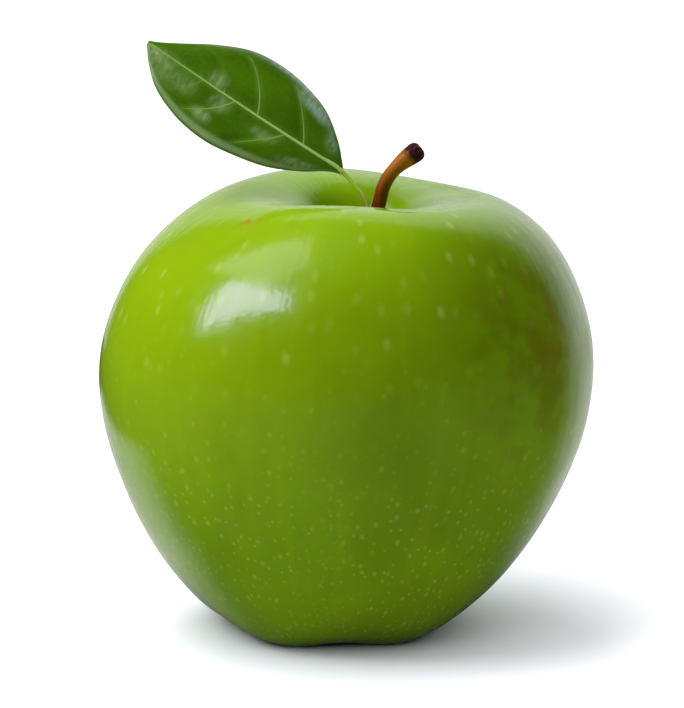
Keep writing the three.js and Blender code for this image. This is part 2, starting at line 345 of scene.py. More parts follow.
def makeStage():
    (x0, x1), (y0, y1) = floorPaper["xRange"], floorPaper["yRange"]
    corners = [(x * mm, y * mm, 0) for x, y in ((x0, y0), (x1, y0), (x1, y1), (x0, y1))]
    floor = meshObject("floor", corners, [(0, 1, 2, 3)])
    floor.data.materials.append(paperWhite())
    floor.visible_glossy = False

    for name, (corners, softness, strength) in floorCards.items():
        points = [(x * mm, y * mm, floorCardHeight * mm) for x, y in corners]
        card = meshObject(name, points, [tuple(range(len(points)))])
        card.data.materials.append(glowing(name, strength))
        softEdges(card.data.materials[0].node_tree, corners, softness)
        card.visible_camera = card.visible_diffuse = card.visible_shadow = False

    makePanels()
    makeLamps(floor)

    world = bpy.data.worlds.new("room")
    bpy.context.scene.world = world
    world.use_nodes = True
    tree = world.node_tree
    tree.nodes.clear()
    ray = addNode(tree, "ShaderNodeLightPath")
    mirrored = addNode(tree, "ShaderNodeMapRange", {
        "Value": ray.outputs["Is Glossy Ray"], "To Min": room["fill"], "To Max": room["mirrored"],
    })
    seen = addNode(tree, "ShaderNodeMapRange", {
        "Value": ray.outputs["Is Camera Ray"], "To Min": mirrored, "To Max": room["seen"],
    })
    glow = addNode(tree, "ShaderNodeBackground", {"Color": linear("#ffffff"), "Strength": seen})
    addNode(tree, "ShaderNodeOutputWorld", {"Surface": glow})
    bpy.context.scene.view_settings.view_transform = "Standard"
    bpy.context.scene.view_settings.look = "None"


# Fruit

fruit = {
    "rightSection": [
        (0, 8), (2.5, 8), (7, 6.5), (10.8, 1.5), (13.3, -1.3), (22.4, 3.9), (29.9, 12.6), (37.3, 26.7),
        (40.3, 45.1), (32.4, 63.8), (21.9, 70), (18.3, 68.8), (12.6, 69.3), (7.2, 65.8), (3.2, 57.1), (0, 57.1),
    ],
    "leftSection": [
        (0, 8), (2.5, 8), (7, 6.5), (10.8, 1.5), (13.9, -0.7), (21, 2), (29.5, 12.1), (36.9, 26.8),
        (40.8, 44.8), (33, 61.9), (21.4, 70), (15, 70.4), (7.7, 68.6), (4.9, 62.1), (2.3, 57.1), (0, 57.1),
    ],
    "rows": 300,
    "sides": 300,
    "depth": 0.975,
    "lean": 0.036,
    "leanHeight": 43.0,
    "centreShift": 0.18,
    "lobeCount": 5.0,
    "lobeAngle": 0.397,
    "lobeSwell": 0.016,
    "lobeDrop": 0.5,
    "saddleHeight": 0.93,
    "saddleAngle": 2.03,
    "waveHeight": -0.11,
    "waveAngle": 1.03,
    "notchDepth": 1.36,
    "notchAngle": -0.9,
    "notchWidth": 0.53,
    "unevenness": 0.22,      # height of the soft swells that growth leaves, peak to peak
    "unevennessSize": 17.0,
}


def sectionCurve(name, controls):
    data = bpy.data.curves.new(name, "CURVE")
    data.dimensions = "3D"
    data.resolution_u = 24
    spline = data.splines.new("NURBS")
    spline.points.add(len(controls) - 1)
    for point, (radius, height) in zip(spline.points, controls):
        point.co = (radius * mm, 0, height * mm, 1)
    spline.order_u = 4
    spline.use_endpoint_u = True
    obj = bpy.data.objects.new(name, data)
    bpy.context.scene.collection.objects.link(obj)
    return obj


def fruitTree(sizes, finish):
    tree = startTree("fruitBody", sizes)
    size = addNode(tree, "NodeGroupInput").outputs
    grid = addNode(tree, "GeometryNodeMeshGrid", {
        "Size X": 1.0, "Size Y": 1.0, "Vertices X": size["Rows"], "Vertices Y": size["Sides"],
    })
    start = addNode(tree, "ShaderNodeSeparateXYZ", {0: addNode(tree, "GeometryNodeInputPosition")})
    share = addNode(tree, "ShaderNodeMath", {0: start.outputs["X"], 1: 0.5})
    angle = addNode(tree, "ShaderNodeMath", {0: start.outputs["Y"], 1: 2 * math.pi}, operation="MULTIPLY")
    cosine = addNode(tree, "ShaderNodeMath", {0: angle}, operation="COSINE")
    sine = addNode(tree, "ShaderNodeMath", {0: angle}, operation="SINE")

    # the half sections on the right and the left, mixed round the fruit
    leftShare = addNode(tree, "ShaderNodeMapRange", {"Value": cosine, "From Min": 1.0, "From Max": -1.0})
    sections = []
    for side in ("Right Section", "Left Section"):
        curve = addNode(tree, "GeometryNodeObjectInfo", {"Object": size[side]}).outputs["Geometry"]
        sections.append(addNode(tree, "GeometryNodeSampleCurve", {"Curves": curve, "Factor": share}, mode="FACTOR"))
    mixed = addNode(tree, "ShaderNodeMix", {
        "Factor": leftShare.outputs[0], 4: sections[0].outputs["Position"], 5: sections[1].outputs["Position"],
    }, data_type="VECTOR")
    section = addNode(tree, "ShaderNodeSeparateXYZ", {0: mixed.outputs[1]})
    radius, height = section.outputs["X"], section.outputs["Z"]

    def between(value, low, high, falling=False):
        ends = (1.0, 0.0) if falling else (0.0, 1.0)
        return addNode(tree, "ShaderNodeMapRange", {
            "Value": value, "From Min": low * mm, "From Max": high * mm, "To Min": ends[0], "To Max": ends[1],
        }, interpolation_type="SMOOTHSTEP").outputs[0]

    def waves(count, phase):
        turn = addNode(tree, "ShaderNodeMath", {0: angle, 1: phase}, operation="SUBTRACT")
        turns = addNode(tree, "ShaderNodeMath", {0: turn, 1: count}, operation="MULTIPLY")
        return addNode(tree, "ShaderNodeMath", {0: turns}, operation="COSINE")

    def product(*factors):
        result = factors[0]
        for factor in factors[1:]:
            result = addNode(tree, "ShaderNodeMath", {0: result, 1: factor}, operation="MULTIPLY")
        return result

    # five lobes that swell a little and end in the feet
    lobes = waves(size["Lobe Count"], size["Lobe Angle"])
    low = product(between(height, 4, 36, falling=True), between(radius, 3, 14))
    foot = product(between(height, 0, 14, falling=True), between(radius, 3, 12))
    swell = addNode(tree, "ShaderNodeMath", {0: product(low, lobes), 1: size["Lobe Swell"], 2: 1.0},
                    operation="MULTIPLY_ADD")
    radius = product(radius, swell)
    drop = product(foot, lobes, size["Lobe Drop"])
    height = addNode(tree, "ShaderNodeMath", {0: height, 1: drop}, operation="SUBTRACT")

    # the saddle, the wave and the notch of the cavity's rim
    onRim = product(between(height, 55, 68), between(radius, 4, 14))
    saddle = product(waves(2.0, size["Saddle Angle"]), size["Saddle Height"])
    wave = product(waves(size["Lobe Count"], size["Wave Angle"]), size["Wave Height"])
    turn = addNode(tree, "ShaderNodeMath", {0: angle, 1: size["Notch Angle"]}, operation="SUBTRACT")
    turn = addNode(tree, "ShaderNodeMath", {0: turn, 1: size["Notch Width"]}, operation="DIVIDE")
    turn = addNode(tree, "ShaderNodeMath", {0: product(turn, turn), 1: -1.0}, operation="MULTIPLY")
    dip = addNode(tree, "ShaderNodeMath", {0: turn}, operation="EXPONENT")
    notch = product(dip, between(radius, 16, 30, falling=True), size["Notch Depth"])
    lift = addNode(tree, "ShaderNodeMath", {0: saddle, 1: wave})
    lift = addNode(tree, "ShaderNodeMath", {0: lift, 1: notch}, operation="SUBTRACT")
    height = addNode(tree, "ShaderNodeMath", {0: product(lift, onRim), 1: height})

    # turned about the axis, which leans
    rise = addNode(tree, "ShaderNodeMath", {0: height, 1: size["Lean Height"]}, operation="SUBTRACT")
    shift = addNode(tree, "ShaderNodeMath", {0: rise, 1: size["Lean"], 2: size["Centre Shift"]},
                    operation="MULTIPLY_ADD")
    x = addNode(tree, "ShaderNodeMath", {0: product(radius, cosine), 1: shift})
    y = product(radius, sine, size["Depth"])
    place = addNode(tree, "ShaderNodeCombineXYZ", {"X": x, "Y": y, "Z": height})
    length = addNode(tree, "GeometryNodeCurveLength", {"Curve": sections[0].inputs["Curves"].links[0].from_socket})
    spread = addNode(tree, "ShaderNodeCombineXYZ", {
        "X": product(cosine, size["Girth"]), "Y": product(sine, size["Girth"]), "Z": product(share, length),
    })
    kept = addNode(tree, "GeometryNodeStoreNamedAttribute", {
        "Geometry": grid, "Name": "skinPlace", "Value": spread,
    }, data_type="FLOAT_VECTOR")
    shaped = addNode(tree, "GeometryNodeSetPosition", {"Geometry": kept, "Position": place})
    turned = addNode(tree, "GeometryNodeFlipFaces", {"Mesh": shaped})
    closed = addNode(tree, "GeometryNodeMergeByDistance", {"Geometry": turned, "Distance": 0.00001})

    # soft swells along the normal, then flat feet on the floor
    grain = addNode(tree, "ShaderNodeMath", {0: 1.0, 1: size["Unevenness Size"]}, operation="DIVIDE")
    noise = addNode(tree, "ShaderNodeTexNoise", {
        "Vector": addNode(tree, "GeometryNodeInputPosition"), "Scale": grain, "Detail": 1.0,
    })
    centred = addNode(tree, "ShaderNodeMath", {0: noise.outputs["Fac"], 1: 0.5}, operation="SUBTRACT")
    amount = product(centred, size["Unevenness"], 2.0)
    push = addNode(tree, "ShaderNodeVectorMath", {
        0: addNode(tree, "GeometryNodeInputNormal"), "Scale": amount,
    }, operation="SCALE")
    grown = addNode(tree, "GeometryNodeSetPosition", {"Geometry": closed, "Offset": push})
    now = addNode(tree, "ShaderNodeSeparateXYZ", {0: addNode(tree, "GeometryNodeInputPosition")})
    above = addNode(tree, "ShaderNodeMath", {0: now.outputs["Z"], 1: 0.0}, operation="MAXIMUM")
    resting = addNode(tree, "ShaderNodeCombineXYZ", {"X": now.outputs["X"], "Y": now.outputs["Y"], "Z": above})
    standing = addNode(tree, "GeometryNodeSetPosition", {"Geometry": grown, "Position": resting})
    finishTree(tree, standing, finish)
    return tree


def makeFruit():
    curves = [sectionCurve("rightSection", fruit["rightSection"]), sectionCurve("leftSection", fruit["leftSection"])]
    sizes = {
        "Right Section": curves[0],
        "Left Section": curves[1],
        "Rows": fruit["rows"] + 1,
        "Sides": fruit["sides"] + 1,
        "Girth": fruit["rightSection"][8][0] * mm,
        "Depth": fruit["depth"],
        "Lean": fruit["lean"],
        "Lean Height": fruit["leanHeight"] * mm,
        "Centre Shift": fruit["centreShift"] * mm,
        "Lobe Count": fruit["lobeCount"],
        "Lobe Angle": fruit["lobeAngle"],
        "Lobe Swell": fruit["lobeSwell"],
        "Lobe Drop": fruit["lobeDrop"] * mm,
        "Saddle Height": fruit["saddleHeight"] * mm,
        "Saddle Angle": fruit["saddleAngle"],
        "Wave Height": fruit["waveHeight"] * mm,
        "Wave Angle": fruit["waveAngle"],
        "Notch Depth": fruit["notchDepth"] * mm,
        "Notch Angle": fruit["notchAngle"],
        "Notch Width": fruit["notchWidth"],
        "Unevenness": fruit["unevenness"] * mm,
        "Unevenness Size": fruit["unevennessSize"] * mm,
    }
    obj = runTree("fruitSkin", fruitTree(sizes, waxySkin()), sizes)
    for curve in curves:
        bpy.data.objects.remove(curve)
    finishPiece(obj, "fruit")
    print("fruit:", len(obj.data.polygons), "faces")


skinLook = {
    "green": "#7ba306",
    "deepGreen": "#6c9004",
    # yellower, lighter green on the side that faces the key lamp: partly the skin's own colour, partly painted light
    "litSideYellow": "#9dbf08",
    # painted light in the stem cavity: a lighter yellow-green that brightens the recess, partly the skin's own colour
    # there
    "cavity": "#a2d012",
    "dot": "#bccc58",
    "streak": "#b4cf0c",
    "streaks": 0.1,
    "pores": [
        # (spacing, radius, length over width, strength, from height, to height, share left on the shady side)
        (4.5, 1.15, 1.3, 0.42, 40, 54, 0.62),
        (3.3, 0.66, 1.15, 0.34, 60, 30, 1.0),
        (2.1, 0.46, 1.0, 0.36, 44, 24, 1.0),
    ],
    "blush": "#b0600a",
    "russet": "#94700f",
    "olive": "#6f6a04",
    "patches": [
        # (colour, centre, half size, strength, grain a metre)
        ("blush", (-15.4, -17.0, 68.2), (2.8, 1.6, 1.2), 0.8, 650.0),
        ("olive", (28.0, -24.0, 49.0), (14.0, 13.0, 18.0), 0.62, 240.0),
        ("russet", (31.0, -19.0, 52.0), (4.5, 6.0, 9.0), 0.5, 800.0),
    ],
    "roughness": 0.16,
}


def waxySkin():
    # apple skin: a thin natural wax over living green cells, so a soft gloss with pale pores under it
    finish = bpy.data.materials.new("waxySkin")
    finish.use_nodes = True
    tree = finish.node_tree
    tree.nodes.clear()
    body = addNode(tree, "ShaderNodeTexCoord").outputs["Object"]
    spread = addNode(tree, "ShaderNodeAttribute", attribute_name="skinPlace").outputs["Vector"]

    def blend(base, over, amount):
        return addNode(tree, "ShaderNodeMix", {"Factor": amount, 6: base, 7: over}, data_type="RGBA").outputs[2]

    def mask(value, low, high, top=1.0):
        return addNode(tree, "ShaderNodeMapRange", {
            "Value": value, "From Min": low, "From Max": high, "To Max": top,
        }, interpolation_type="SMOOTHSTEP").outputs[0]

    # ground colour: cloudy green, yellower and lighter towards the upper left front, the side the key lamp lights:
    # partly the skin's own sun-side colour, partly painted light
    cloud = addNode(tree, "ShaderNodeTexNoise", {"Vector": body, "Scale": 38.0, "Detail": 4.0})
    colour = blend(linear(skinLook["green"]), linear(skinLook["deepGreen"]), mask(cloud.outputs["Fac"], 0.35, 0.75))
    keyLitSide = addNode(tree, "ShaderNodeVectorMath", {0: body, 1: (-0.62, -0.42, 0.66)}, operation="DOT_PRODUCT")
    colour = blend(colour, linear(skinLook["litSideYellow"]), mask(keyLitSide.outputs["Value"], 0.03, 0.085, 0.8))

    # faint streaks along the meridians
    drawn = addNode(tree, "ShaderNodeMapping", {"Vector": spread, "Scale": (1, 1, 0.1)})
    streak = addNode(tree, "ShaderNodeTexNoise", {"Vector": drawn, "Scale": 260.0, "Detail": 3.0})
    colour = blend(colour, linear(skinLook["streak"]), mask(streak.outputs["Fac"], 0.45, 0.85, skinLook["streaks"]))

    # pores: two unrolled maps of the skin, with their joins on opposite sides, fade into each other
    where = addNode(tree, "ShaderNodeSeparateXYZ", {0: body})
    down = addNode(tree, "ShaderNodeSeparateXYZ", {0: spread}).outputs["Z"]
    maps = []
    for turn, offset in ((1.0, 0.0), (-1.0, 0.5)):
        facing = addNode(tree, "ShaderNodeVectorMath", {0: body, "Scale": turn}, operation="SCALE")
        axes = addNode(tree, "ShaderNodeSeparateXYZ", {0: facing})
        angle = addNode(tree, "ShaderNodeMath", {0: axes.outputs["Y"], 1: axes.outputs["X"]}, operation="ARCTAN2")
        girth = addNode(tree, "ShaderNodeMath", {0: angle, 1: 0.04, 2: offset}, operation="MULTIPLY_ADD")
        maps.append(addNode(tree, "ShaderNodeCombineXYZ", {"X": girth, "Y": down}))
    joined = mask(where.outputs["X"], -0.012, 0.006)
    flat = addNode(tree, "ShaderNodeVectorMath", {0: body, 1: (1, 1, 0)}, operation="MULTIPLY")
    fromAxis = addNode(tree, "ShaderNodeVectorMath", {0: flat}, operation="LENGTH").outputs["Value"]
    offAxis = mask(fromAxis, 0.011, 0.02)

    # the skin in the stem cavity is lighter and yellower: partly the skin's own yellower colour there, partly painted
    # light that brightens the recess
    cavityLight = addNode(tree, "ShaderNodeMath", {
        0: mask(fromAxis, 0.018, 0.008, 0.75), 1: mask(where.outputs["X"], 0.006, -0.001),
    }, operation="MULTIPLY")
    cavityLight = addNode(tree, "ShaderNodeMath", {0: cavityLight, 1: mask(where.outputs["Z"], 0.05, 0.055)},
                     operation="MULTIPLY")
    colour = blend(colour, linear(skinLook["cavity"]), cavityLight.outputs[0])

    def pores(cell, size, long, strength, low, high, shady):
        layers = []
        for unrolled in maps:
            squeezed = addNode(tree, "ShaderNodeMapping", {"Vector": unrolled, "Scale": (1, 1 / long, 1)})
            cells = addNode(tree, "ShaderNodeTexVoronoi", {
                "Vector": squeezed, "Scale": 1 / (cell * mm), "Randomness": 0.9,
            }, voronoi_dimensions="2D")
            near = mask(cells.outputs["Distance"], size / cell, 0.1 * size / cell)
            pick = addNode(tree, "ShaderNodeSeparateXYZ", {0: cells.outputs["Color"]})
            chosen = mask(pick.outputs["X"], 0.1, 0.9, strength)
            layers.append(addNode(tree, "ShaderNodeMath", {0: near, 1: chosen}, operation="MULTIPLY"))
        both = addNode(tree, "ShaderNodeMix", {"Factor": joined, 2: layers[1], 3: layers[0]})
        height = mask(where.outputs["Z"], low * mm, high * mm)
        placed = addNode(tree, "ShaderNodeMath", {0: height, 1: offAxis}, operation="MULTIPLY")
        sunned = addNode(tree, "ShaderNodeMapRange", {
            "Value": keyLitSide.outputs["Value"], "From Min": 0.02, "From Max": 0.055, "To Min": shady,
        })
        where_ = addNode(tree, "ShaderNodeMath", {0: placed, 1: sunned}, operation="MULTIPLY")
        return addNode(tree, "ShaderNodeMath", {0: both, 1: where_}, operation="MULTIPLY")

    dots = None
    for layer in skinLook["pores"]:
        added = pores(*layer)
        dots = added if dots is None else addNode(tree, "ShaderNodeMath", {0: dots, 1: added}, operation="MAXIMUM")
    colour = blend(colour, linear(skinLook["dot"]), dots.outputs[0])

    # a small blush by the front rim, and olive mottling and a rusty net on the right shoulder
    for name, centre, size, strength, grain in skinLook["patches"]:
        away = addNode(tree, "ShaderNodeVectorMath", {0: body, 1: [c * mm for c in centre]}, operation="SUBTRACT")
        scaled = addNode(tree, "ShaderNodeVectorMath", {0: away, 1: [1 / (s * mm) for s in size]},
                         operation="MULTIPLY")
        reach = addNode(tree, "ShaderNodeVectorMath", {0: scaled}, operation="LENGTH")
        fleck = addNode(tree, "ShaderNodeTexNoise", {"Vector": body, "Scale": grain, "Detail": 4.0})
        patchy = addNode(tree, "ShaderNodeMath", {
            0: mask(reach.outputs["Value"], 1.5, 0.1, strength), 1: mask(fleck.outputs["Fac"], 0.36, 0.66),
        }, operation="MULTIPLY")
        colour = blend(colour, linear(skinLook[name]), patchy.outputs[0])

    # relief: fine grain, slightly raised pores and shallow ripples along the meridians
    grain = addNode(tree, "ShaderNodeTexNoise", {"Vector": body, "Scale": 1300.0, "Detail": 2.0})
    tops = addNode(tree, "ShaderNodeMath", {0: dots, 1: 0.8, 2: grain.outputs["Fac"]}, operation="MULTIPLY_ADD")
    tops = addNode(tree, "ShaderNodeMath", {0: streak.outputs["Fac"], 1: 5.0, 2: tops}, operation="MULTIPLY_ADD")
    relief = addNode(tree, "ShaderNodeBump", {"Height": tops, "Strength": 0.35, "Distance": 0.00006})
    gloss = addNode(tree, "ShaderNodeTexNoise", {"Vector": spread, "Scale": 300.0, "Detail": 3.0})
    rough = addNode(tree, "ShaderNodeMapRange", {
        "Value": gloss.outputs["Fac"], "From Min": 0.3, "From Max": 0.7,
        "To Min": skinLook["roughness"] - 0.04, "To Max": skinLook["roughness"] + 0.05,
    })
    skin = addNode(tree, "ShaderNodeBsdfPrincipled", {
        "Base Color": colour, "Roughness": rough, "IOR": 1.45, "Normal": relief,
        "Subsurface Weight": 0.12, "Subsurface Radius": (1.0, 1.2, 0.3), "Subsurface Scale": 0.0015,
    })
    addNode(tree, "ShaderNodeOutputMaterial", {"Surface": skin})
    return finish


# Stem

stem = {
    "path": [
        (1.6, 0, 58.8), (3.3, 0, 62.8), (4.85, -0.1, 67.3), (5.6, -0.2, 70.3), (6.7, -0.3, 72.4), (8.4, -0.5, 74.2),
        (11, -0.8, 76.2),
    ],
    "sides": 96,
    "rows": 240,
    "radius": 1.06,
    "endRadius": 1.55,
    "flareLength": 5.5,
    "footShare": 0.8,
    "lipRadius": 1.1,
    "endDepth": 0.12,
    "endRag": 0.24,
    "bumpAt": 0.78,
    "bumpAngle": 0.1,
    "bumpHeight": 0.22,
    "bumpSize": 0.9,
    "fibreHeight": 0.022,
    "seed": 7,
}


def turnedAlong(name, profile, path, sides, reshape, attributes=None):
    # a body turned from (radius, distance) rows with its axis bent along the path, poles closed
    places, ahead, length = smoothPath(path, 400)
    angles = np.linspace(0, 2 * math.pi, sides, endpoint=False)
    radius = np.repeat(np.array([p[0] for p in profile], dtype=float)[:, None], sides, axis=1)
    distance = np.repeat(np.array([p[1] for p in profile], dtype=float)[:, None], sides, axis=1)
    radius, distance = reshape(radius, distance, angles[None, :], length)
    share = np.clip(distance / length, 0, 1) * 400
    axis = np.stack([np.interp(share, np.arange(401), places[:, k]) for k in range(3)], axis=-1)
    way = np.stack([np.interp(share, np.arange(401), ahead[:, k]) for k in range(3)], axis=-1)
    way /= np.linalg.norm(way, axis=-1)[..., None]
    side = np.cross([0, 1, 0], way)
    side /= np.linalg.norm(side, axis=-1)[..., None]
    third = np.cross(side, way)
    points = axis + way * (distance - np.clip(distance, 0, length))[..., None]
    points = points + side * (radius * np.sin(angles))[..., None] + third * (radius * np.cos(angles))[..., None]
    points[..., 0] += fruit["centreShift"]
    rows = len(profile)
    faces = []
    for row in range(rows - 1):
        for k in range(sides):
            a, b = row * sides + k, row * sides + (k + 1) % sides
            faces.append((a, b, b + sides, a + sides))
    faces.append(tuple(range(sides - 1, -1, -1)))
    faces.append(tuple((rows - 1) * sides + k for k in range(sides)))
    fields = {"along": (distance / length).ravel()}
    return meshObject(name, points.reshape(-1, 3) * mm, faces, fields)


def makeStem():
    length = smoothPath(stem["path"], 400)[2]
    profile = []
    lip = stem["lipRadius"]
    lipStart = length - 0.45 * lip
    for row in range(stem["rows"] + 1):
        distance = row / stem["rows"] * lipStart
        flare = fade(length - stem["flareLength"], lipStart, distance)
        radius = stem["radius"] + (stem["endRadius"] - stem["radius"]) * flare
        foot = stem["footShare"] + (1 - stem["footShare"]) * min(row / 8, 1)
        profile.append((radius * foot, distance))
    # the lip is rounded over, and the end inside it is hollow
    for turn in np.linspace(0.03, 0.5, 14) * math.pi:
        profile.append((stem["endRadius"] - lip + lip * math.cos(turn), lipStart + lip * math.sin(turn)))
    inner = 1 - lip / stem["endRadius"]
    for share in (0.9, 0.75, 0.6, 0.4, 0.2, 0.04):
        depth = stem["endDepth"] * (1 - share ** 2)
        profile.append((stem["endRadius"] * inner * share, lipStart + lip - depth))
    rng = np.random.default_rng(stem["seed"])
    ridges = [(count, rng.uniform(0, 6.28), rng.uniform(0.3, 1)) for count in (3, 5, 7, 11, 16, 23)]
    torn = sum(rng.uniform(0.4, 1) * np.cos(count * np.linspace(0, 2 * math.pi, stem["sides"], endpoint=False)
                                            + rng.uniform(0, 6.28)) for count in (2, 5, 9, 14))
    torn = torn / np.abs(torn).max() * stem["endRag"] / 2

    def reshape(radius, distance, angles, length):
        turn = np.arctan2(np.sin(angles - stem["bumpAngle"]), np.cos(angles - stem["bumpAngle"]))
        away = np.hypot(distance - stem["bumpAt"] * length, turn * stem["radius"]) / stem["bumpSize"]
        fibres = sum(weight * np.cos(count * angles + phase + 0.35 * distance * weight)
                     for count, phase, weight in ridges)
        inside = radius / stem["endRadius"]
        bump = stem["bumpHeight"] * np.exp(-away ** 2) * (distance < length)
        skin = stem["fibreHeight"] * fibres * np.clip(inside, 0, 1)
        edge = torn[None, :] * fade(length - 1.2, length, distance) * np.clip(inside, 0, 1)
        return radius + bump + skin, distance + edge

    obj = turnedAlong("stemWood", profile, stem["path"], stem["sides"], reshape)
    obj.data.materials.append(barkBrown())
    finishPiece(obj, "stem")
    print("stem:", len(obj.data.polygons), "faces")


stemLook = {
    "bark": "#721e02",
    "darkBark": "#4e1102",
    "warmBark": "#8e3a04",
    "sunned": "#c88412",     # the lighter upper half
    "cutEnd": "#34120a",
    "pith": "#84522c",
}


def barkBrown():
    # dried fruit stalk: satin brown bark with fine lengthwise fibres and a dark torn end
    finish = bpy.data.materials.new("barkBrown")
    finish.use_nodes = True
    tree = finish.node_tree
    tree.nodes.clear()
    place = addNode(tree, "ShaderNodeTexCoord").outputs["Object"]
    along = addNode(tree, "ShaderNodeAttribute", attribute_name="along").outputs["Fac"]
    stretched = addNode(tree, "ShaderNodeMapping", {"Vector": place, "Scale": (1, 1, 0.25), "Rotation": (0, -0.45, 0)})
    fibre = addNode(tree, "ShaderNodeTexNoise", {"Vector": stretched, "Scale": 2600.0, "Detail": 4.0})
    tone = addNode(tree, "ShaderNodeValToRGB", {"Fac": fibre.outputs["Fac"]})
    tone.color_ramp.elements[0].position = 0.3
    tone.color_ramp.elements[0].color = linear(stemLook["darkBark"])
    tone.color_ramp.elements[1].position = 0.72
    tone.color_ramp.elements[1].color = linear(stemLook["warmBark"])
    middle = tone.color_ramp.elements.new(0.5)
    middle.color = linear(stemLook["bark"])
    upper = addNode(tree, "ShaderNodeMapRange", {
        "Value": along, "From Min": 0.45, "From Max": 0.8, "To Max": 0.55,
    }, interpolation_type="SMOOTHSTEP")
    sunned = addNode(tree, "ShaderNodeMix", {"Factor": upper, 6: tone, 7: linear(stemLook["sunned"])},
                     data_type="RGBA")
    crumbs = addNode(tree, "ShaderNodeTexNoise", {"Vector": place, "Scale": 1700.0, "Detail": 3.0})
    ragged = addNode(tree, "ShaderNodeMath", {0: crumbs.outputs["Fac"], 1: 0.12, 2: along}, operation="MULTIPLY_ADD")
    end = addNode(tree, "ShaderNodeMapRange", {"Value": ragged, "From Min": 0.95, "From Max": 1.02},
                  interpolation_type="SMOOTHSTEP")
    inEnd = addNode(tree, "ShaderNodeMapRange", {"Value": along, "From Min": 0.99, "From Max": 1.02})
    pale = addNode(tree, "ShaderNodeMapRange", {"Value": crumbs.outputs["Fac"], "From Min": 0.54, "From Max": 0.66})
    pith = addNode(tree, "ShaderNodeMath", {0: inEnd, 1: pale}, operation="MULTIPLY")
    cut = addNode(tree, "ShaderNodeMix", {
        "Factor": pith, 6: linear(stemLook["cutEnd"]), 7: linear(stemLook["pith"]),
    }, data_type="RGBA")
    colour = addNode(tree, "ShaderNodeMix", {"Factor": end, 6: sunned.outputs[2], 7: cut.outputs[2]},
                     data_type="RGBA")
    relief = addNode(tree, "ShaderNodeBump", {"Height": fibre.outputs["Fac"], "Strength": 0.5, "Distance": 0.00012})
    rough = addNode(tree, "ShaderNodeMapRange", {"Value": end, "To Min": 0.4, "To Max": 0.75})
    bark = addNode(tree, "ShaderNodeBsdfPrincipled", {
        "Base Color": colour.outputs[2], "Roughness": rough, "IOR": 1.45, "Specular IOR Level": 0.22, "Normal": relief,
    })
    addNode(tree, "ShaderNodeOutputMaterial", {"Surface": bark})
    return finish


# Leaf

leaf = {
    # edges as (share of the length, half width)
    "upperEdge": [
        (0, 0.5), (0.03, 1.8), (0.08, 3.9), (0.2, 7.8), (0.33, 10), (0.45, 10.7), (0.6, 9.8), (0.75, 6.8),
        (0.88, 3.3), (0.96, 1.2), (1, 0.35),
    ],
    "lowerEdge": [
        (0, 0.5), (0.05, 1.4), (0.15, 4.1), (0.3, 7), (0.5, 8.6), (0.62, 8.6), (0.75, 7.7), (0.87, 5.8),
        (0.95, 3), (1, 0.35),
    ],
    "base": (-0.9, 0, 72.8),
    "tip": (-31.1, 3, 92.6),
    "across": (0.486, 0.609, 0.628),
    "under": (-0.28, 0.79, -0.55),     # the way that the lower face looks
    "thickness": 0.5,
    "marginThickness": 0.24,
    "rows": 250,
    "columns": 130,
    "fold": 0.2,
    "curl": 0.016,
    "bow": 1.6,
    "wave": 0.35,
    "waveTurns": 9,
    "waveLag": 2,
    "rollWidth": 3.0,        # the margins bend back over this width
    "upperRoll": 1.1,
    "lowerRoll": 0.7,
    # side veins as (where it leaves the midrib, how strong it is)
    "upperVeins": [(0.08, 0.4), (0.2, 1), (0.32, 0.35), (0.436, 1), (0.525, 0.35), (0.609, 0.75), (0.727, 0.7),
                   (0.81, 0.4), (0.88, 0.3)],
    "lowerVeins": [(0.1, 0.35), (0.2, 0.4), (0.292, 1), (0.42, 0.45), (0.55, 1), (0.63, 0.35), (0.712, 0.8),
                   (0.8, 0.4), (0.87, 0.3)],
    "midribRise": (0.17, 0.03),    # how far the midrib stands out of the upper face, at its foot and tip
    "veinRise": 0.03,        # how far a strong side vein does
    "veinSink": 0.1,         # and how far its centre lies below the middle of the blade
    "pillow": 0.07,          # how far the blade swells between its side veins
    "pillowWidth": 1.6,
}

stalk = {
    "path": [
        (0.6, -1.4, 59.7), (2.3, -1.5, 63.4), (3.2, -1.5, 66.4), (3.1, -1.35, 67.9), (2.6, -1.1, 68.9),
        (1.85, -0.8, 69.9), (0.45, -0.25, 71.45), (-0.9, 0, 72.8), (-2.6, -0.1, 73.9),
    ],
    "radius": 0.23,
    "topRadius": 0.4,
    "sides": 32,
    "rows": 160,
}


def edgeWidth(edge, share):
    # half width at each share of the length, eased between the listed points
    at, width = np.array(edge, dtype=float).T
    slope = np.empty(len(at))
    slope[1:-1] = (width[2:] - width[:-2]) / (at[2:] - at[:-2])
    slope[0] = (width[1] - width[0]) / (at[1] - at[0])
    slope[-1] = (width[-1] - width[-2]) / (at[-1] - at[-2])
    i = np.clip(np.searchsorted(at, share) - 1, 0, len(at) - 2)
    span = at[i + 1] - at[i]
    t = np.clip((share - at[i]) / span, 0, 1)
    return ((2 * t ** 3 - 3 * t ** 2 + 1) * width[i] + (t ** 3 - 2 * t ** 2 + t) * span * slope[i]
            + (3 * t ** 2 - 2 * t ** 3) * width[i + 1] + (t ** 3 - t ** 2) * span * slope[i + 1])


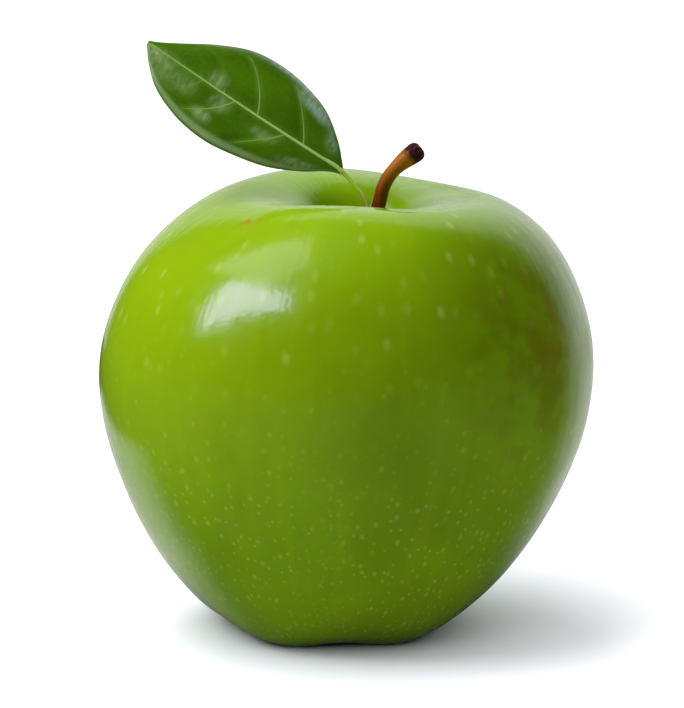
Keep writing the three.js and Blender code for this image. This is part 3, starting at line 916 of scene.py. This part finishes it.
def bladeSurface(u, v):
    # the middle of the blade, with u from stalk to tip and v from the lower to the upper margin
    base, tip = np.array(leaf["base"], dtype=float), np.array(leaf["tip"], dtype=float)
    chord = tip - base
    ahead = chord / np.linalg.norm(chord)
    across = np.array(leaf["across"]) - np.dot(leaf["across"], ahead) * ahead
    across /= np.linalg.norm(across)
    front = np.cross(across, ahead)
    halfWidth = np.where(v > 0, edgeWidth(leaf["upperEdge"], u), edgeWidth(leaf["lowerEdge"], u))
    reach = np.abs(v) * halfWidth
    middle = np.sin(math.pi * np.clip(u, 0, 1))
    ripple = leaf["wave"] * v * v * middle * np.sin(leaf["waveTurns"] * u + leaf["waveLag"] * v)
    inward = np.clip(1 - (1 - np.abs(v)) * halfWidth / leaf["rollWidth"], 0, 1)
    roll = np.where(v > 0, leaf["upperRoll"], leaf["lowerRoll"]) * inward ** 2 * middle
    rise = leaf["fold"] * reach - leaf["curl"] * reach ** 2 + ripple - roll
    points = base + u[..., None] * chord + (v * halfWidth)[..., None] * across + rise[..., None] * front
    points[..., 1] -= leaf["bow"] * np.sin(math.pi * u)
    points[..., 0] += fruit["centreShift"]
    return points


def bladeNormal(u, v):
    step = 0.002
    along = bladeSurface(u + step, v) - bladeSurface(u - step, v)
    across = bladeSurface(u, v + step) - bladeSurface(u, v - step)
    normal = np.cross(across, along)
    return normal / np.linalg.norm(normal, axis=-1)[..., None]


def sideVeins():
    for side, veins in ((1, leaf["upperVeins"]), (-1, leaf["lowerVeins"])):
        for start, weight in veins:
            yield start, side, weight


def veinShare(start, reach):
    # where on the length a side vein is when it has covered this share of the half width
    return start + (0.1 * reach + 0.14 * reach ** 2) * min(1, (1 - start) / 0.4)


def bladeThickness(v):
    return leaf["marginThickness"] + (leaf["thickness"] - leaf["marginThickness"]) * (1 - np.abs(v)) ** 0.8


def makeBlade():
    rows, columns = leaf["rows"], leaf["columns"]
    u = np.repeat(np.linspace(0, 1, rows + 1)[:, None], columns + 1, axis=1)
    v = np.repeat(np.linspace(-1, 1, columns + 1)[None, :], rows + 1, axis=0)
    # the blade dips to each side vein, and to the midrib, over a millimetre or two
    length = math.dist(leaf["base"], leaf["tip"])
    dip = np.exp(-(v * 8 / 1.3) ** 2)
    for start, side, weight in sideVeins():
        away = (u - veinShare(start, np.abs(v))) * length / leaf["pillowWidth"]
        dip = np.maximum(dip, weight * np.exp(-away ** 2) * (np.sign(v) * side > 0) * fade(1.0, 0.75, np.abs(v)))
    pillow = leaf["pillow"] * (1 - dip) * fade(1.0, 0.85, np.abs(v)) * fade(0, 0.1, u) * fade(1, 0.9, u)
    centre, normal = bladeSurface(u, v), bladeNormal(u, v)
    edge = np.minimum(1, (1 - np.abs(v)) / 0.04)
    half = bladeThickness(v) / 2 * np.sqrt(np.clip(edge * (2 - edge), 0.02, 1))
    faces, points, side, place = [], [], [], []
    for sign in (1, -1):
        points.append((centre + normal * (pillow + sign * half)[..., None]).reshape(-1, 3))
        side.append(np.full(u.size, 0.5 + 0.5 * sign))
        place.append(np.stack([u, v, dip], axis=-1).reshape(-1, 3))
    back = u.size
    at = lambda row, column: row * (columns + 1) + column
    for row in range(rows):
        for column in range(columns):
            a, b = at(row, column), at(row + 1, column)
            c, d = at(row + 1, column + 1), at(row, column + 1)
            faces.append((a, d, c, b))
            faces.append((a + back, b + back, c + back, d + back))
    rim = [(at(r, 0), at(r + 1, 0)) for r in range(rows)]
    rim += [(at(r + 1, columns), at(r, columns)) for r in range(rows)]
    rim += [(at(rows, c), at(rows, c + 1)) for c in range(columns)]
    rim += [(at(0, c + 1), at(0, c)) for c in range(columns)]
    faces += [(p, q, q + back, p + back) for p, q in rim]
    fields = {"upperFace": np.concatenate(side), "bladePlace": np.vstack(place)}
    obj = meshObject("leafBlade", np.vstack(points) * mm, faces, fields)
    obj.data.materials.append(leafGreen())
    finishPiece(obj, "leaf")
    print("leaf blade:", len(obj.data.polygons), "faces")


def veinTree(sizes, finish):
    # a round tapering vein along each edge path of the host, sunk in the blade
    tree = startTree("bladeVeins", sizes)
    size = addNode(tree, "NodeGroupInput").outputs
    lines = addNode(tree, "GeometryNodeMeshToCurve", {"Mesh": size["Geometry"]})
    taper = addNode(tree, "GeometryNodeInputNamedAttribute", {"Name": "veinRadius"}, data_type="FLOAT")
    radius = addNode(tree, "ShaderNodeMath", {0: taper, 1: size["Scale"]}, operation="MULTIPLY")
    sized = addNode(tree, "GeometryNodeSetCurveRadius", {"Curve": lines, "Radius": radius})
    profile = addNode(tree, "GeometryNodeCurvePrimitiveCircle", {"Resolution": size["Sides"], "Radius": 1.0})
    tubes = addNode(tree, "GeometryNodeCurveToMesh", {
        "Curve": sized, "Profile Curve": profile, "Scale": radius, "Fill Caps": True,
    })
    down = addNode(tree, "ShaderNodeVectorMath", {
        0: addNode(tree, "GeometryNodeInputNormal"), 1: leaf["under"],
    }, operation="DOT_PRODUCT")
    marked = addNode(tree, "GeometryNodeStoreNamedAttribute", {
        "Geometry": tubes, "Name": "underside", "Value": down.outputs["Value"],
    }, data_type="FLOAT")
    finishTree(tree, marked, finish)
    return tree


def makeVeins():
    points, radii, pale, edges = [], [], [], []

    def addVein(u, v, sizes, paleness):
        first = len(points)
        centre = bladeSurface(u, v) - bladeNormal(u, v) * leaf["veinSink"]
        points.extend(centre * mm)
        radii.extend(sizes * mm)
        pale.extend(paleness)
        edges.extend((first + k, first + k + 1) for k in range(len(u) - 1))

    share = np.linspace(0.0, 0.985, 120)
    foot, tip = leaf["midribRise"]
    rise = foot + (tip - foot) * share ** 0.7
    addVein(share, np.zeros(120), leaf["thickness"] / 2 + leaf["veinSink"] + rise, 1 - 0.8 * share)
    for start, side, weight in sideVeins():
        reach = np.linspace(0, 0.62 + 0.3 * weight, 60)
        u = veinShare(start, reach)
        keep = u < 0.985
        rise = leaf["veinRise"] * weight * (1 - 0.8 * reach)
        sizes = bladeThickness(reach) / 2 + leaf["veinSink"] + rise
        addVein(u[keep], side * reach[keep], sizes[keep], (0.3 * weight * (1 - 0.8 * reach))[keep])
    mesh = bpy.data.meshes.new("veinPaths")
    mesh.from_pydata(points, edges, [])
    mesh.attributes.new("veinRadius", "FLOAT", "POINT").data.foreach_set("value", radii)
    mesh.attributes.new("along", "FLOAT", "POINT").data.foreach_set("value", [1 - p for p in pale])
    host = bpy.data.objects.new("veinPaths", mesh)
    bpy.context.scene.collection.objects.link(host)
    sizes = {"Scale": 1.0, "Sides": 14}
    obj = runTree("leafVeins", veinTree(sizes, paleVein()), sizes, host)
    finishPiece(obj, "leaf")
    print("leaf veins:", len(obj.data.polygons), "faces")


def makeStalk():
    length = smoothPath(stalk["path"], 400)[2]
    profile = []
    for row in range(stalk["rows"] + 1):
        distance = row / stalk["rows"] * length
        foot = 0.3 * math.exp(-distance / 1.2)
        top = float(fade(0.55 * length, 0.95 * length, distance))
        profile.append((stalk["radius"] * (1 + foot) + (stalk["topRadius"] - stalk["radius"]) * top, distance))
    for share in (0.9, 0.6, 0.2, 0.02):
        profile.append((stalk["topRadius"] * share, length + 0.3 * (1 - share)))

    def reshape(radius, distance, angles, length):
        groove = 0.06 * np.exp(-((angles - math.pi) / 0.5) ** 2)
        return radius * (1 - groove), distance

    obj = turnedAlong("leafStalk", profile, stalk["path"], stalk["sides"], reshape)
    obj.data.materials.append(stalkGreen())
    finishPiece(obj, "leaf")
    print("leaf stalk:", len(obj.data.polygons), "faces")


leafLook = {
    "green": "#4d7a02",
    "darkGreen": "#3c6202",
    "lightGreen": "#6f9c2e",
    # painted reflections: the pale and the cool sheen that the glossy upper face would mirror
    "paleSheen": "#bcd49c",
    "coolSheen": "#bcdcc8",
    "patches": [
        # painted reflections: pale sheen of the surroundings painted on the upper face: (share of length, side, half
        # length, half width, strength, cool or not)
        (0.96, -0.35, 0.2, 0.9, 0.6, 0),
        (0.24, 0.8, 0.16, 0.26, 0.95, 1),
        (0.1, 0.65, 0.06, 0.45, 0.6, 1),
        (0.4, 0.95, 0.2, 0.14, 0.5, 1),
        (0.66, 0.17, 0.06, 0.24, 0.7, 0),
        (0.6, -0.24, 0.07, 0.28, 0.55, 0),
        (0.37, -0.34, 0.09, 0.22, 0.45, 0),
        (0.77, -0.35, 0.08, 0.4, 0.3, 0),
        (0.64, -0.66, 0.07, 0.2, 0.55, 0),
        (0.18, -0.74, 0.13, 0.28, 0.6, 0),
    ],
    "lowerSheen": 0.36,       # how strong the painted reflection along the bent-back lower margin is
    "underside": "#86a862",
    "vein": "#c6e08a",
    "veinBelow": "#b2c890",
    "stalk": "#b9cf4e",
    "stalkFoot": "#c8a868",
}


def leafGreen():
    # leaf blade: a glossy dark cuticle above, and a paler matt face below
    finish = bpy.data.materials.new("leafGreen")
    finish.use_nodes = True
    tree = finish.node_tree
    tree.nodes.clear()
    place = addNode(tree, "ShaderNodeTexCoord").outputs["Object"]
    spot = addNode(tree, "ShaderNodeAttribute", attribute_name="bladePlace").outputs["Vector"]
    upper = addNode(tree, "ShaderNodeAttribute", attribute_name="upperFace").outputs["Fac"]

    def blend(base, over, amount):
        return addNode(tree, "ShaderNodeMix", {"Factor": amount, 6: base, 7: over}, data_type="RGBA").outputs[2]

    cloud = addNode(tree, "ShaderNodeTexNoise", {"Vector": place, "Scale": 160.0, "Detail": 4.0})
    depth = addNode(tree, "ShaderNodeMapRange", {"Value": cloud.outputs["Fac"], "From Min": 0.35, "From Max": 0.7})
    colour = blend(linear(leafLook["green"]), linear(leafLook["darkGreen"]), depth.outputs[0])
    dip = addNode(tree, "ShaderNodeSeparateXYZ", {0: spot})
    nearVein = addNode(tree, "ShaderNodeMapRange", {
        "Value": dip.outputs["Z"], "From Min": 0.55, "From Max": 1.0, "To Max": 0.3,
    }, interpolation_type="SMOOTHSTEP")
    colour = blend(colour, linear(leafLook["lightGreen"]), nearVein.outputs[0])
    # net of the finest veins, with meshes of 0.9 mm
    net = addNode(tree, "ShaderNodeTexVoronoi", {"Vector": place, "Scale": 1100.0}, feature="DISTANCE_TO_EDGE")
    netLine = addNode(tree, "ShaderNodeMapRange", {
        "Value": net.outputs["Distance"], "From Min": 0.0, "From Max": 0.1, "To Min": 0.12, "To Max": 0.0,
    })
    colour = blend(colour, linear(leafLook["lightGreen"]), netLine.outputs[0])
    # the painted sheen breaks into streaks that run with the side veins
    drawn = addNode(tree, "ShaderNodeMapping", {"Vector": spot, "Scale": (44, 2.6, 0)})
    streaky = addNode(tree, "ShaderNodeTexNoise", {"Vector": drawn, "Scale": 1.0, "Detail": 3.0})
    cloudy = addNode(tree, "ShaderNodeMapRange", {
        "Value": streaky.outputs["Fac"], "From Min": 0.36, "From Max": 0.66, "To Min": 0.2, "To Max": 0.85,
    })
    for along, side, halfLength, halfWidth, strength, cool in leafLook["patches"]:
        away = addNode(tree, "ShaderNodeVectorMath", {0: spot, 1: (along, side, 0)}, operation="SUBTRACT")
        away = addNode(tree, "ShaderNodeVectorMath", {0: away, 1: (1 / halfLength, 1 / halfWidth, 0)},
                       operation="MULTIPLY")
        reach = addNode(tree, "ShaderNodeVectorMath", {0: away}, operation="LENGTH").outputs["Value"]
        patch = addNode(tree, "ShaderNodeMapRange", {
            "Value": reach, "From Min": 1.0, "From Max": 0.1, "To Max": strength,
        }, interpolation_type="SMOOTHSTEP")
        patch = addNode(tree, "ShaderNodeMath", {0: patch, 1: cloudy}, operation="MULTIPLY")
        colour = blend(colour, linear(leafLook["coolSheen" if cool else "paleSheen"]), patch.outputs[0])
    # painted reflection: a pale band along the bent-back lower margin
    marginSheen = addNode(tree, "ShaderNodeMapRange", {
        "Value": dip.outputs["Y"], "From Min": -0.8, "From Max": -0.9, "To Max": leafLook["lowerSheen"],
    }, interpolation_type="SMOOTHSTEP")
    outside = addNode(tree, "ShaderNodeMapRange", {
        "Value": dip.outputs["Y"], "From Min": -0.99, "From Max": -0.93, "To Min": 0.0,
    }, interpolation_type="SMOOTHSTEP")
    marginSheen = addNode(tree, "ShaderNodeMath", {0: marginSheen, 1: outside}, operation="MULTIPLY")
    colour = blend(colour, linear(leafLook["paleSheen"]), marginSheen.outputs[0])
    topSide = addNode(tree, "ShaderNodeMapRange", {"Value": upper, "From Min": 0.0, "From Max": 0.2})
    colour = blend(linear(leafLook["underside"]), colour, topSide.outputs[0])
    relief = addNode(tree, "ShaderNodeBump", {
        "Height": net.outputs["Distance"], "Strength": 0.3, "Distance": 0.00015,
    })
    rough = addNode(tree, "ShaderNodeMapRange", {"Value": upper, "To Min": 0.62, "To Max": 0.3})
    blade = addNode(tree, "ShaderNodeBsdfPrincipled", {
        "Base Color": colour, "Roughness": rough, "IOR": 1.45, "Normal": relief,
        "Subsurface Weight": 0.1, "Subsurface Radius": (0.6, 1.0, 0.2), "Subsurface Scale": 0.0006,
    })
    addNode(tree, "ShaderNodeOutputMaterial", {"Surface": blade})
    return finish


def stalkGreen():
    # leaf stalk: a waxy yellow-green skin that dries to tan at its foot
    finish = bpy.data.materials.new("stalkGreen")
    finish.use_nodes = True
    tree = finish.node_tree
    tree.nodes.clear()
    place = addNode(tree, "ShaderNodeTexCoord").outputs["Object"]
    along = addNode(tree, "ShaderNodeAttribute", attribute_name="along").outputs["Fac"]
    fibre = addNode(tree, "ShaderNodeTexNoise", {"Vector": place, "Scale": 1500.0, "Detail": 3.0})
    edge = addNode(tree, "ShaderNodeMath", {0: fibre.outputs["Fac"], 1: 0.12, 2: along}, operation="MULTIPLY_ADD")
    dry = addNode(tree, "ShaderNodeMapRange", {"Value": edge, "From Min": 0.62, "From Max": 0.72,
                                              "To Min": 1.0, "To Max": 0.0}, interpolation_type="SMOOTHSTEP")
    tone = addNode(tree, "ShaderNodeMix", {
        "Factor": dry, 6: linear(leafLook["stalk"]), 7: linear(leafLook["stalkFoot"]),
    }, data_type="RGBA")
    relief = addNode(tree, "ShaderNodeBump", {"Height": fibre.outputs["Fac"], "Strength": 0.3, "Distance": 0.0001})
    skin = addNode(tree, "ShaderNodeBsdfPrincipled", {
        "Base Color": tone.outputs[2], "Roughness": 0.45, "IOR": 1.45, "Normal": relief,
    })
    addNode(tree, "ShaderNodeOutputMaterial", {"Surface": skin})
    return finish


def paleVein():
    # leaf ribs: firm pale fibres with a satin skin
    finish = bpy.data.materials.new("paleVein")
    finish.use_nodes = True
    tree = finish.node_tree
    tree.nodes.clear()
    place = addNode(tree, "ShaderNodeTexCoord").outputs["Object"]
    cloud = addNode(tree, "ShaderNodeTexNoise", {"Vector": place, "Scale": 700.0, "Detail": 3.0})
    along = addNode(tree, "ShaderNodeAttribute", attribute_name="along").outputs["Fac"]
    tone = addNode(tree, "ShaderNodeMix", {
        "Factor": along, 6: linear(leafLook["vein"]), 7: linear(leafLook["lightGreen"]),
    }, data_type="RGBA")
    under = addNode(tree, "ShaderNodeAttribute", attribute_name="underside").outputs["Fac"]
    below = addNode(tree, "ShaderNodeMapRange", {"Value": under, "From Min": 0.0, "From Max": 0.3})
    tone = addNode(tree, "ShaderNodeMix", {
        "Factor": below, 6: tone.outputs[2], 7: linear(leafLook["veinBelow"]),
    }, data_type="RGBA")
    relief = addNode(tree, "ShaderNodeBump", {"Height": cloud.outputs["Fac"], "Strength": 0.2, "Distance": 0.0001})
    rib = addNode(tree, "ShaderNodeBsdfPrincipled", {
        "Base Color": tone.outputs[2], "Roughness": 0.4, "IOR": 1.45, "Normal": relief,
    })
    addNode(tree, "ShaderNodeOutputMaterial", {"Surface": rib})
    return finish


# Calyx

calyx = {
    "sepalCount": 5,
    "sepalPath": [(1.5, 0, 7.2), (2.3, 0, 5.9), (3.6, 0, 4.5), (5.2, 0, 4), (6.4, 0, 4.4)],
    "sepalHalfWidth": 1.7,
    "sepalTipHalfWidth": 0.3,
    "sepalThickness": 0.5,
    "sepalCup": 0.35,
    "sepalRows": 48,
    "sepalColumns": 22,
    "cup": [(0, 6.3), (1.4, 6.2), (2.3, 6.7), (2.4, 7.2), (1.6, 7.5), (0, 7.5)],
    "stamenCount": 16,
    "stamenLength": 2.4,
    "stamenRadius": 0.17,
    "stamenSpread": 0.95,
    "stamenFlare": 1.5,
    "stamenFoot": 6.6,
    "axis": (-1.37, 0.0),    # where the leaning core meets the basin
    "seed": 21,
}


def sepalBlade():
    # one dried sepal on the +X side of the axis, with a crinkled face and an in-rolled margin
    rows, columns = calyx["sepalRows"], calyx["sepalColumns"]
    places, ahead, length = smoothPath(calyx["sepalPath"], rows)
    v = np.linspace(-1, 1, columns + 1)
    rng = np.random.default_rng(calyx["seed"])
    creases = [(rng.uniform(1, 5), rng.uniform(2, 7), rng.uniform(0, 6.28)) for _ in range(6)]
    points, faces = [], []
    for sign in (1, -1):
        for row in range(rows + 1):
            share = row / rows
            halfWidth = calyx["sepalHalfWidth"] * (1 - share ** 2) + calyx["sepalTipHalfWidth"] * share
            outward = np.cross(ahead[row], [0, 1, 0])
            for side in v:
                crinkle = sum(math.sin(a * share * 6 + b * side + c) for a, b, c in creases) * 0.035
                rim = math.sqrt(max(0.05, 1 - abs(side) ** 6))
                offset = crinkle + sign * calyx["sepalThickness"] / 2 * rim * (1 - 0.4 * share)
                point = places[row] + outward * offset
                point = point + np.array([0, side * halfWidth, -calyx["sepalCup"] * side ** 2 * halfWidth])
                points.append(point * mm)
    back = (rows + 1) * (columns + 1)
    at = lambda row, column: row * (columns + 1) + column
    for row in range(rows):
        for column in range(columns):
            a, b, c, d = at(row, column), at(row + 1, column), at(row + 1, column + 1), at(row, column + 1)
            faces.append((a, b, c, d))
            faces.append((a + back, d + back, c + back, b + back))
    rim = [(at(r, 0), at(r + 1, 0)) for r in range(rows)]
    rim += [(at(r + 1, columns), at(r, columns)) for r in range(rows)]
    rim += [(at(rows, c), at(rows, c + 1)) for c in range(columns)]
    rim += [(at(0, c + 1), at(0, c)) for c in range(columns)]
    faces += [(q, p, p + back, q + back) for p, q in rim]
    return meshObject("sepalBlade", points, faces)


def calyxTree(sizes, finish):
    # sepals at even turns and stamens in a sunflower spiral, each a little different
    tree = startTree("driedFlower", sizes)
    size = addNode(tree, "NodeGroupInput").outputs
    index = addNode(tree, "GeometryNodeInputIndex")
    ring = addNode(tree, "GeometryNodePoints", {"Count": size["Sepals"]})
    turn = addNode(tree, "ShaderNodeMath", {0: index, 1: size["Sepal Turn"]}, operation="MULTIPLY")
    sway = addNode(tree, "FunctionNodeRandomValue", {"Min": (-0.06, -0.1, -0.12), "Max": (0.06, 0.14, 0.12),
                                                     "Seed": size["Seed"]}, data_type="FLOAT_VECTOR")
    turnAll = addNode(tree, "ShaderNodeCombineXYZ", {"Z": turn})
    pose = addNode(tree, "ShaderNodeVectorMath", {0: turnAll, 1: sway}, operation="ADD")
    blade = addNode(tree, "GeometryNodeObjectInfo", {"Object": size["Sepal"]}).outputs["Geometry"]
    sepals = addNode(tree, "GeometryNodeInstanceOnPoints", {"Points": ring, "Instance": blade, "Rotation": pose})

    spiral = addNode(tree, "GeometryNodePoints", {"Count": size["Stamens"]})
    spin = addNode(tree, "ShaderNodeMath", {0: index, 1: 2.4}, operation="MULTIPLY")
    rank = addNode(tree, "ShaderNodeMath", {0: index, 1: 0.5})
    rank = addNode(tree, "ShaderNodeMath", {0: rank, 1: size["Stamens"]}, operation="DIVIDE")
    rank = addNode(tree, "ShaderNodeMath", {0: rank}, operation="SQRT")
    reach = addNode(tree, "ShaderNodeMath", {0: rank, 1: size["Stamen Spread"]}, operation="MULTIPLY")
    footX = addNode(tree, "ShaderNodeMath", {
        0: reach, 1: addNode(tree, "ShaderNodeMath", {0: spin}, operation="COSINE")}, operation="MULTIPLY")
    footY = addNode(tree, "ShaderNodeMath", {
        0: reach, 1: addNode(tree, "ShaderNodeMath", {0: spin}, operation="SINE")}, operation="MULTIPLY")
    foot = addNode(tree, "ShaderNodeCombineXYZ", {"X": footX, "Y": footY, "Z": size["Stamen Foot"]})
    planted = addNode(tree, "GeometryNodeSetPosition", {"Geometry": spiral, "Position": foot})
    thread = addNode(tree, "GeometryNodeCurvePrimitiveLine", {"End": (0, 0, -1)})
    thread = addNode(tree, "GeometryNodeResampleCurve", {"Curve": thread, "Count": 14})
    profile = addNode(tree, "GeometryNodeCurvePrimitiveCircle", {"Resolution": 10, "Radius": 1.0})
    down = addNode(tree, "GeometryNodeSplineParameter")
    head = addNode(tree, "ShaderNodeMapRange", {
        "Value": down.outputs["Factor"], "From Min": 0.78, "From Max": 0.9, "To Min": 1.0, "To Max": 1.7,
    }, interpolation_type="SMOOTHSTEP")
    thick = addNode(tree, "ShaderNodeMath", {0: head, 1: size["Stamen Radius"]}, operation="MULTIPLY")
    tube = addNode(tree, "GeometryNodeCurveToMesh", {
        "Curve": thread, "Profile Curve": profile, "Scale": thick, "Fill Caps": True,
    })
    lengths = addNode(tree, "FunctionNodeRandomValue", {2: 0.8, 3: 1.2, "Seed": size["Seed"]}, data_type="FLOAT")
    stretch = addNode(tree, "ShaderNodeMath", {0: lengths.outputs[1], 1: size["Stamen Length"]}, operation="MULTIPLY")
    scale = addNode(tree, "ShaderNodeCombineXYZ", {"X": 1.0, "Y": 1.0, "Z": stretch})
    tiltX = addNode(tree, "ShaderNodeMath", {0: footY, 1: size["Stamen Lean"]}, operation="MULTIPLY")
    tiltY = addNode(tree, "ShaderNodeMath", {0: footX, 1: size["Stamen Lean"]}, operation="MULTIPLY")
    tiltY = addNode(tree, "ShaderNodeMath", {0: tiltY, 1: -1.0}, operation="MULTIPLY")
    tilt = addNode(tree, "ShaderNodeCombineXYZ", {"X": tiltX, "Y": tiltY})
    stamens = addNode(tree, "GeometryNodeInstanceOnPoints", {
        "Points": planted, "Instance": tube, "Rotation": tilt, "Scale": scale,
    })
    both = addNode(tree, "GeometryNodeJoinGeometry")
    for part in (size["Geometry"], sepals, stamens):
        tree.links.new(part if isinstance(part, bpy.types.NodeSocket) else part.outputs[0], both.inputs[0])
    moved = addNode(tree, "GeometryNodeTransform", {"Geometry": both, "Translation": calyxPlace()})
    finishTree(tree, moved, finish)
    return tree


def calyxPlace():
    return (calyx["axis"][0] * mm, calyx["axis"][1] * mm, 0)


def cupBody():
    # the hard ring that the dried parts grow from, slightly lobed
    sides = 60
    path = np.array(calyx["cup"], dtype=float)
    fine = []
    for (r0, z0), (r1, z1) in zip(path, path[1:]):
        for t in np.linspace(0, 1, 6, endpoint=False):
            fine.append((r0 + (r1 - r0) * t, z0 + (z1 - z0) * t))
    fine = fine[1:]
    points = [(0, 0, path[0][1] * mm)]
    for radius, height in fine:
        for k in range(sides):
            angle = k / sides * 2 * math.pi
            swell = 1 + 0.05 * math.cos(5 * angle)
            points.append((radius * swell * math.cos(angle) * mm, radius * swell * math.sin(angle) * mm, height * mm))
    points.append((0, 0, path[-1][1] * mm))
    faces = [(0, 1 + (k + 1) % sides, 1 + k) for k in range(sides)]
    for row in range(len(fine) - 1):
        for k in range(sides):
            a, b = 1 + row * sides + k, 1 + row * sides + (k + 1) % sides
            faces.append((a, b, b + sides, a + sides))
    last = 1 + (len(fine) - 1) * sides
    faces += [(last + k, last + (k + 1) % sides, len(points) - 1) for k in range(sides)]
    return meshObject("calyxCup", points, faces)


def makeCalyx():
    sepal = sepalBlade()
    sizes = {
        "Sepal": sepal,
        "Sepals": calyx["sepalCount"],
        "Sepal Turn": 2 * math.pi / calyx["sepalCount"],
        "Stamens": calyx["stamenCount"],
        "Stamen Spread": calyx["stamenSpread"] * mm,
        "Stamen Foot": calyx["stamenFoot"] * mm,
        "Stamen Length": calyx["stamenLength"] * mm,
        "Stamen Radius": calyx["stamenRadius"] * mm,
        "Stamen Lean": 0.22 / mm,
        "Seed": calyx["seed"],
    }
    obj = runTree("driedCalyx", calyxTree(sizes, driedSepal()), sizes, cupBody())
    bpy.data.objects.remove(sepal)
    finishPiece(obj, "calyx")
    print("calyx:", len(obj.data.polygons), "faces")


calyxLook = {
    "brown": "#5c4325",
    "grey": "#8d8166",
    "dark": "#2c1d10",
}


def driedSepal():
    # dried flower parts: papery matt brown with a grey felt of short hairs
    finish = bpy.data.materials.new("driedSepal")
    finish.use_nodes = True
    tree = finish.node_tree
    tree.nodes.clear()
    place = addNode(tree, "ShaderNodeTexCoord").outputs["Object"]
    cloud = addNode(tree, "ShaderNodeTexNoise", {"Vector": place, "Scale": 900.0, "Detail": 4.0})
    felt = addNode(tree, "ShaderNodeTexNoise", {"Vector": place, "Scale": 5200.0, "Detail": 3.0})
    tone = addNode(tree, "ShaderNodeValToRGB", {"Fac": cloud.outputs["Fac"]})
    tone.color_ramp.elements[0].position = 0.34
    tone.color_ramp.elements[0].color = linear(calyxLook["dark"])
    tone.color_ramp.elements[1].position = 0.62
    tone.color_ramp.elements[1].color = linear(calyxLook["brown"])
    hair = addNode(tree, "ShaderNodeMapRange", {
        "Value": felt.outputs["Fac"], "From Min": 0.5, "From Max": 0.75, "To Max": 0.7,
    })
    colour = addNode(tree, "ShaderNodeMix", {"Factor": hair, 6: tone, 7: linear(calyxLook["grey"])}, data_type="RGBA")
    relief = addNode(tree, "ShaderNodeBump", {"Height": felt.outputs["Fac"], "Strength": 0.7, "Distance": 0.00015})
    dry = addNode(tree, "ShaderNodeBsdfPrincipled", {
        "Base Color": colour.outputs[2], "Roughness": 0.85, "Normal": relief,
    })
    addNode(tree, "ShaderNodeOutputMaterial", {"Surface": dry})
    return finish


makeCamera()
makeStage()
print("camera and light are set")
makeFruit()
makeStem()
makeBlade()
makeVeins()
makeStalk()
makeCalyx()
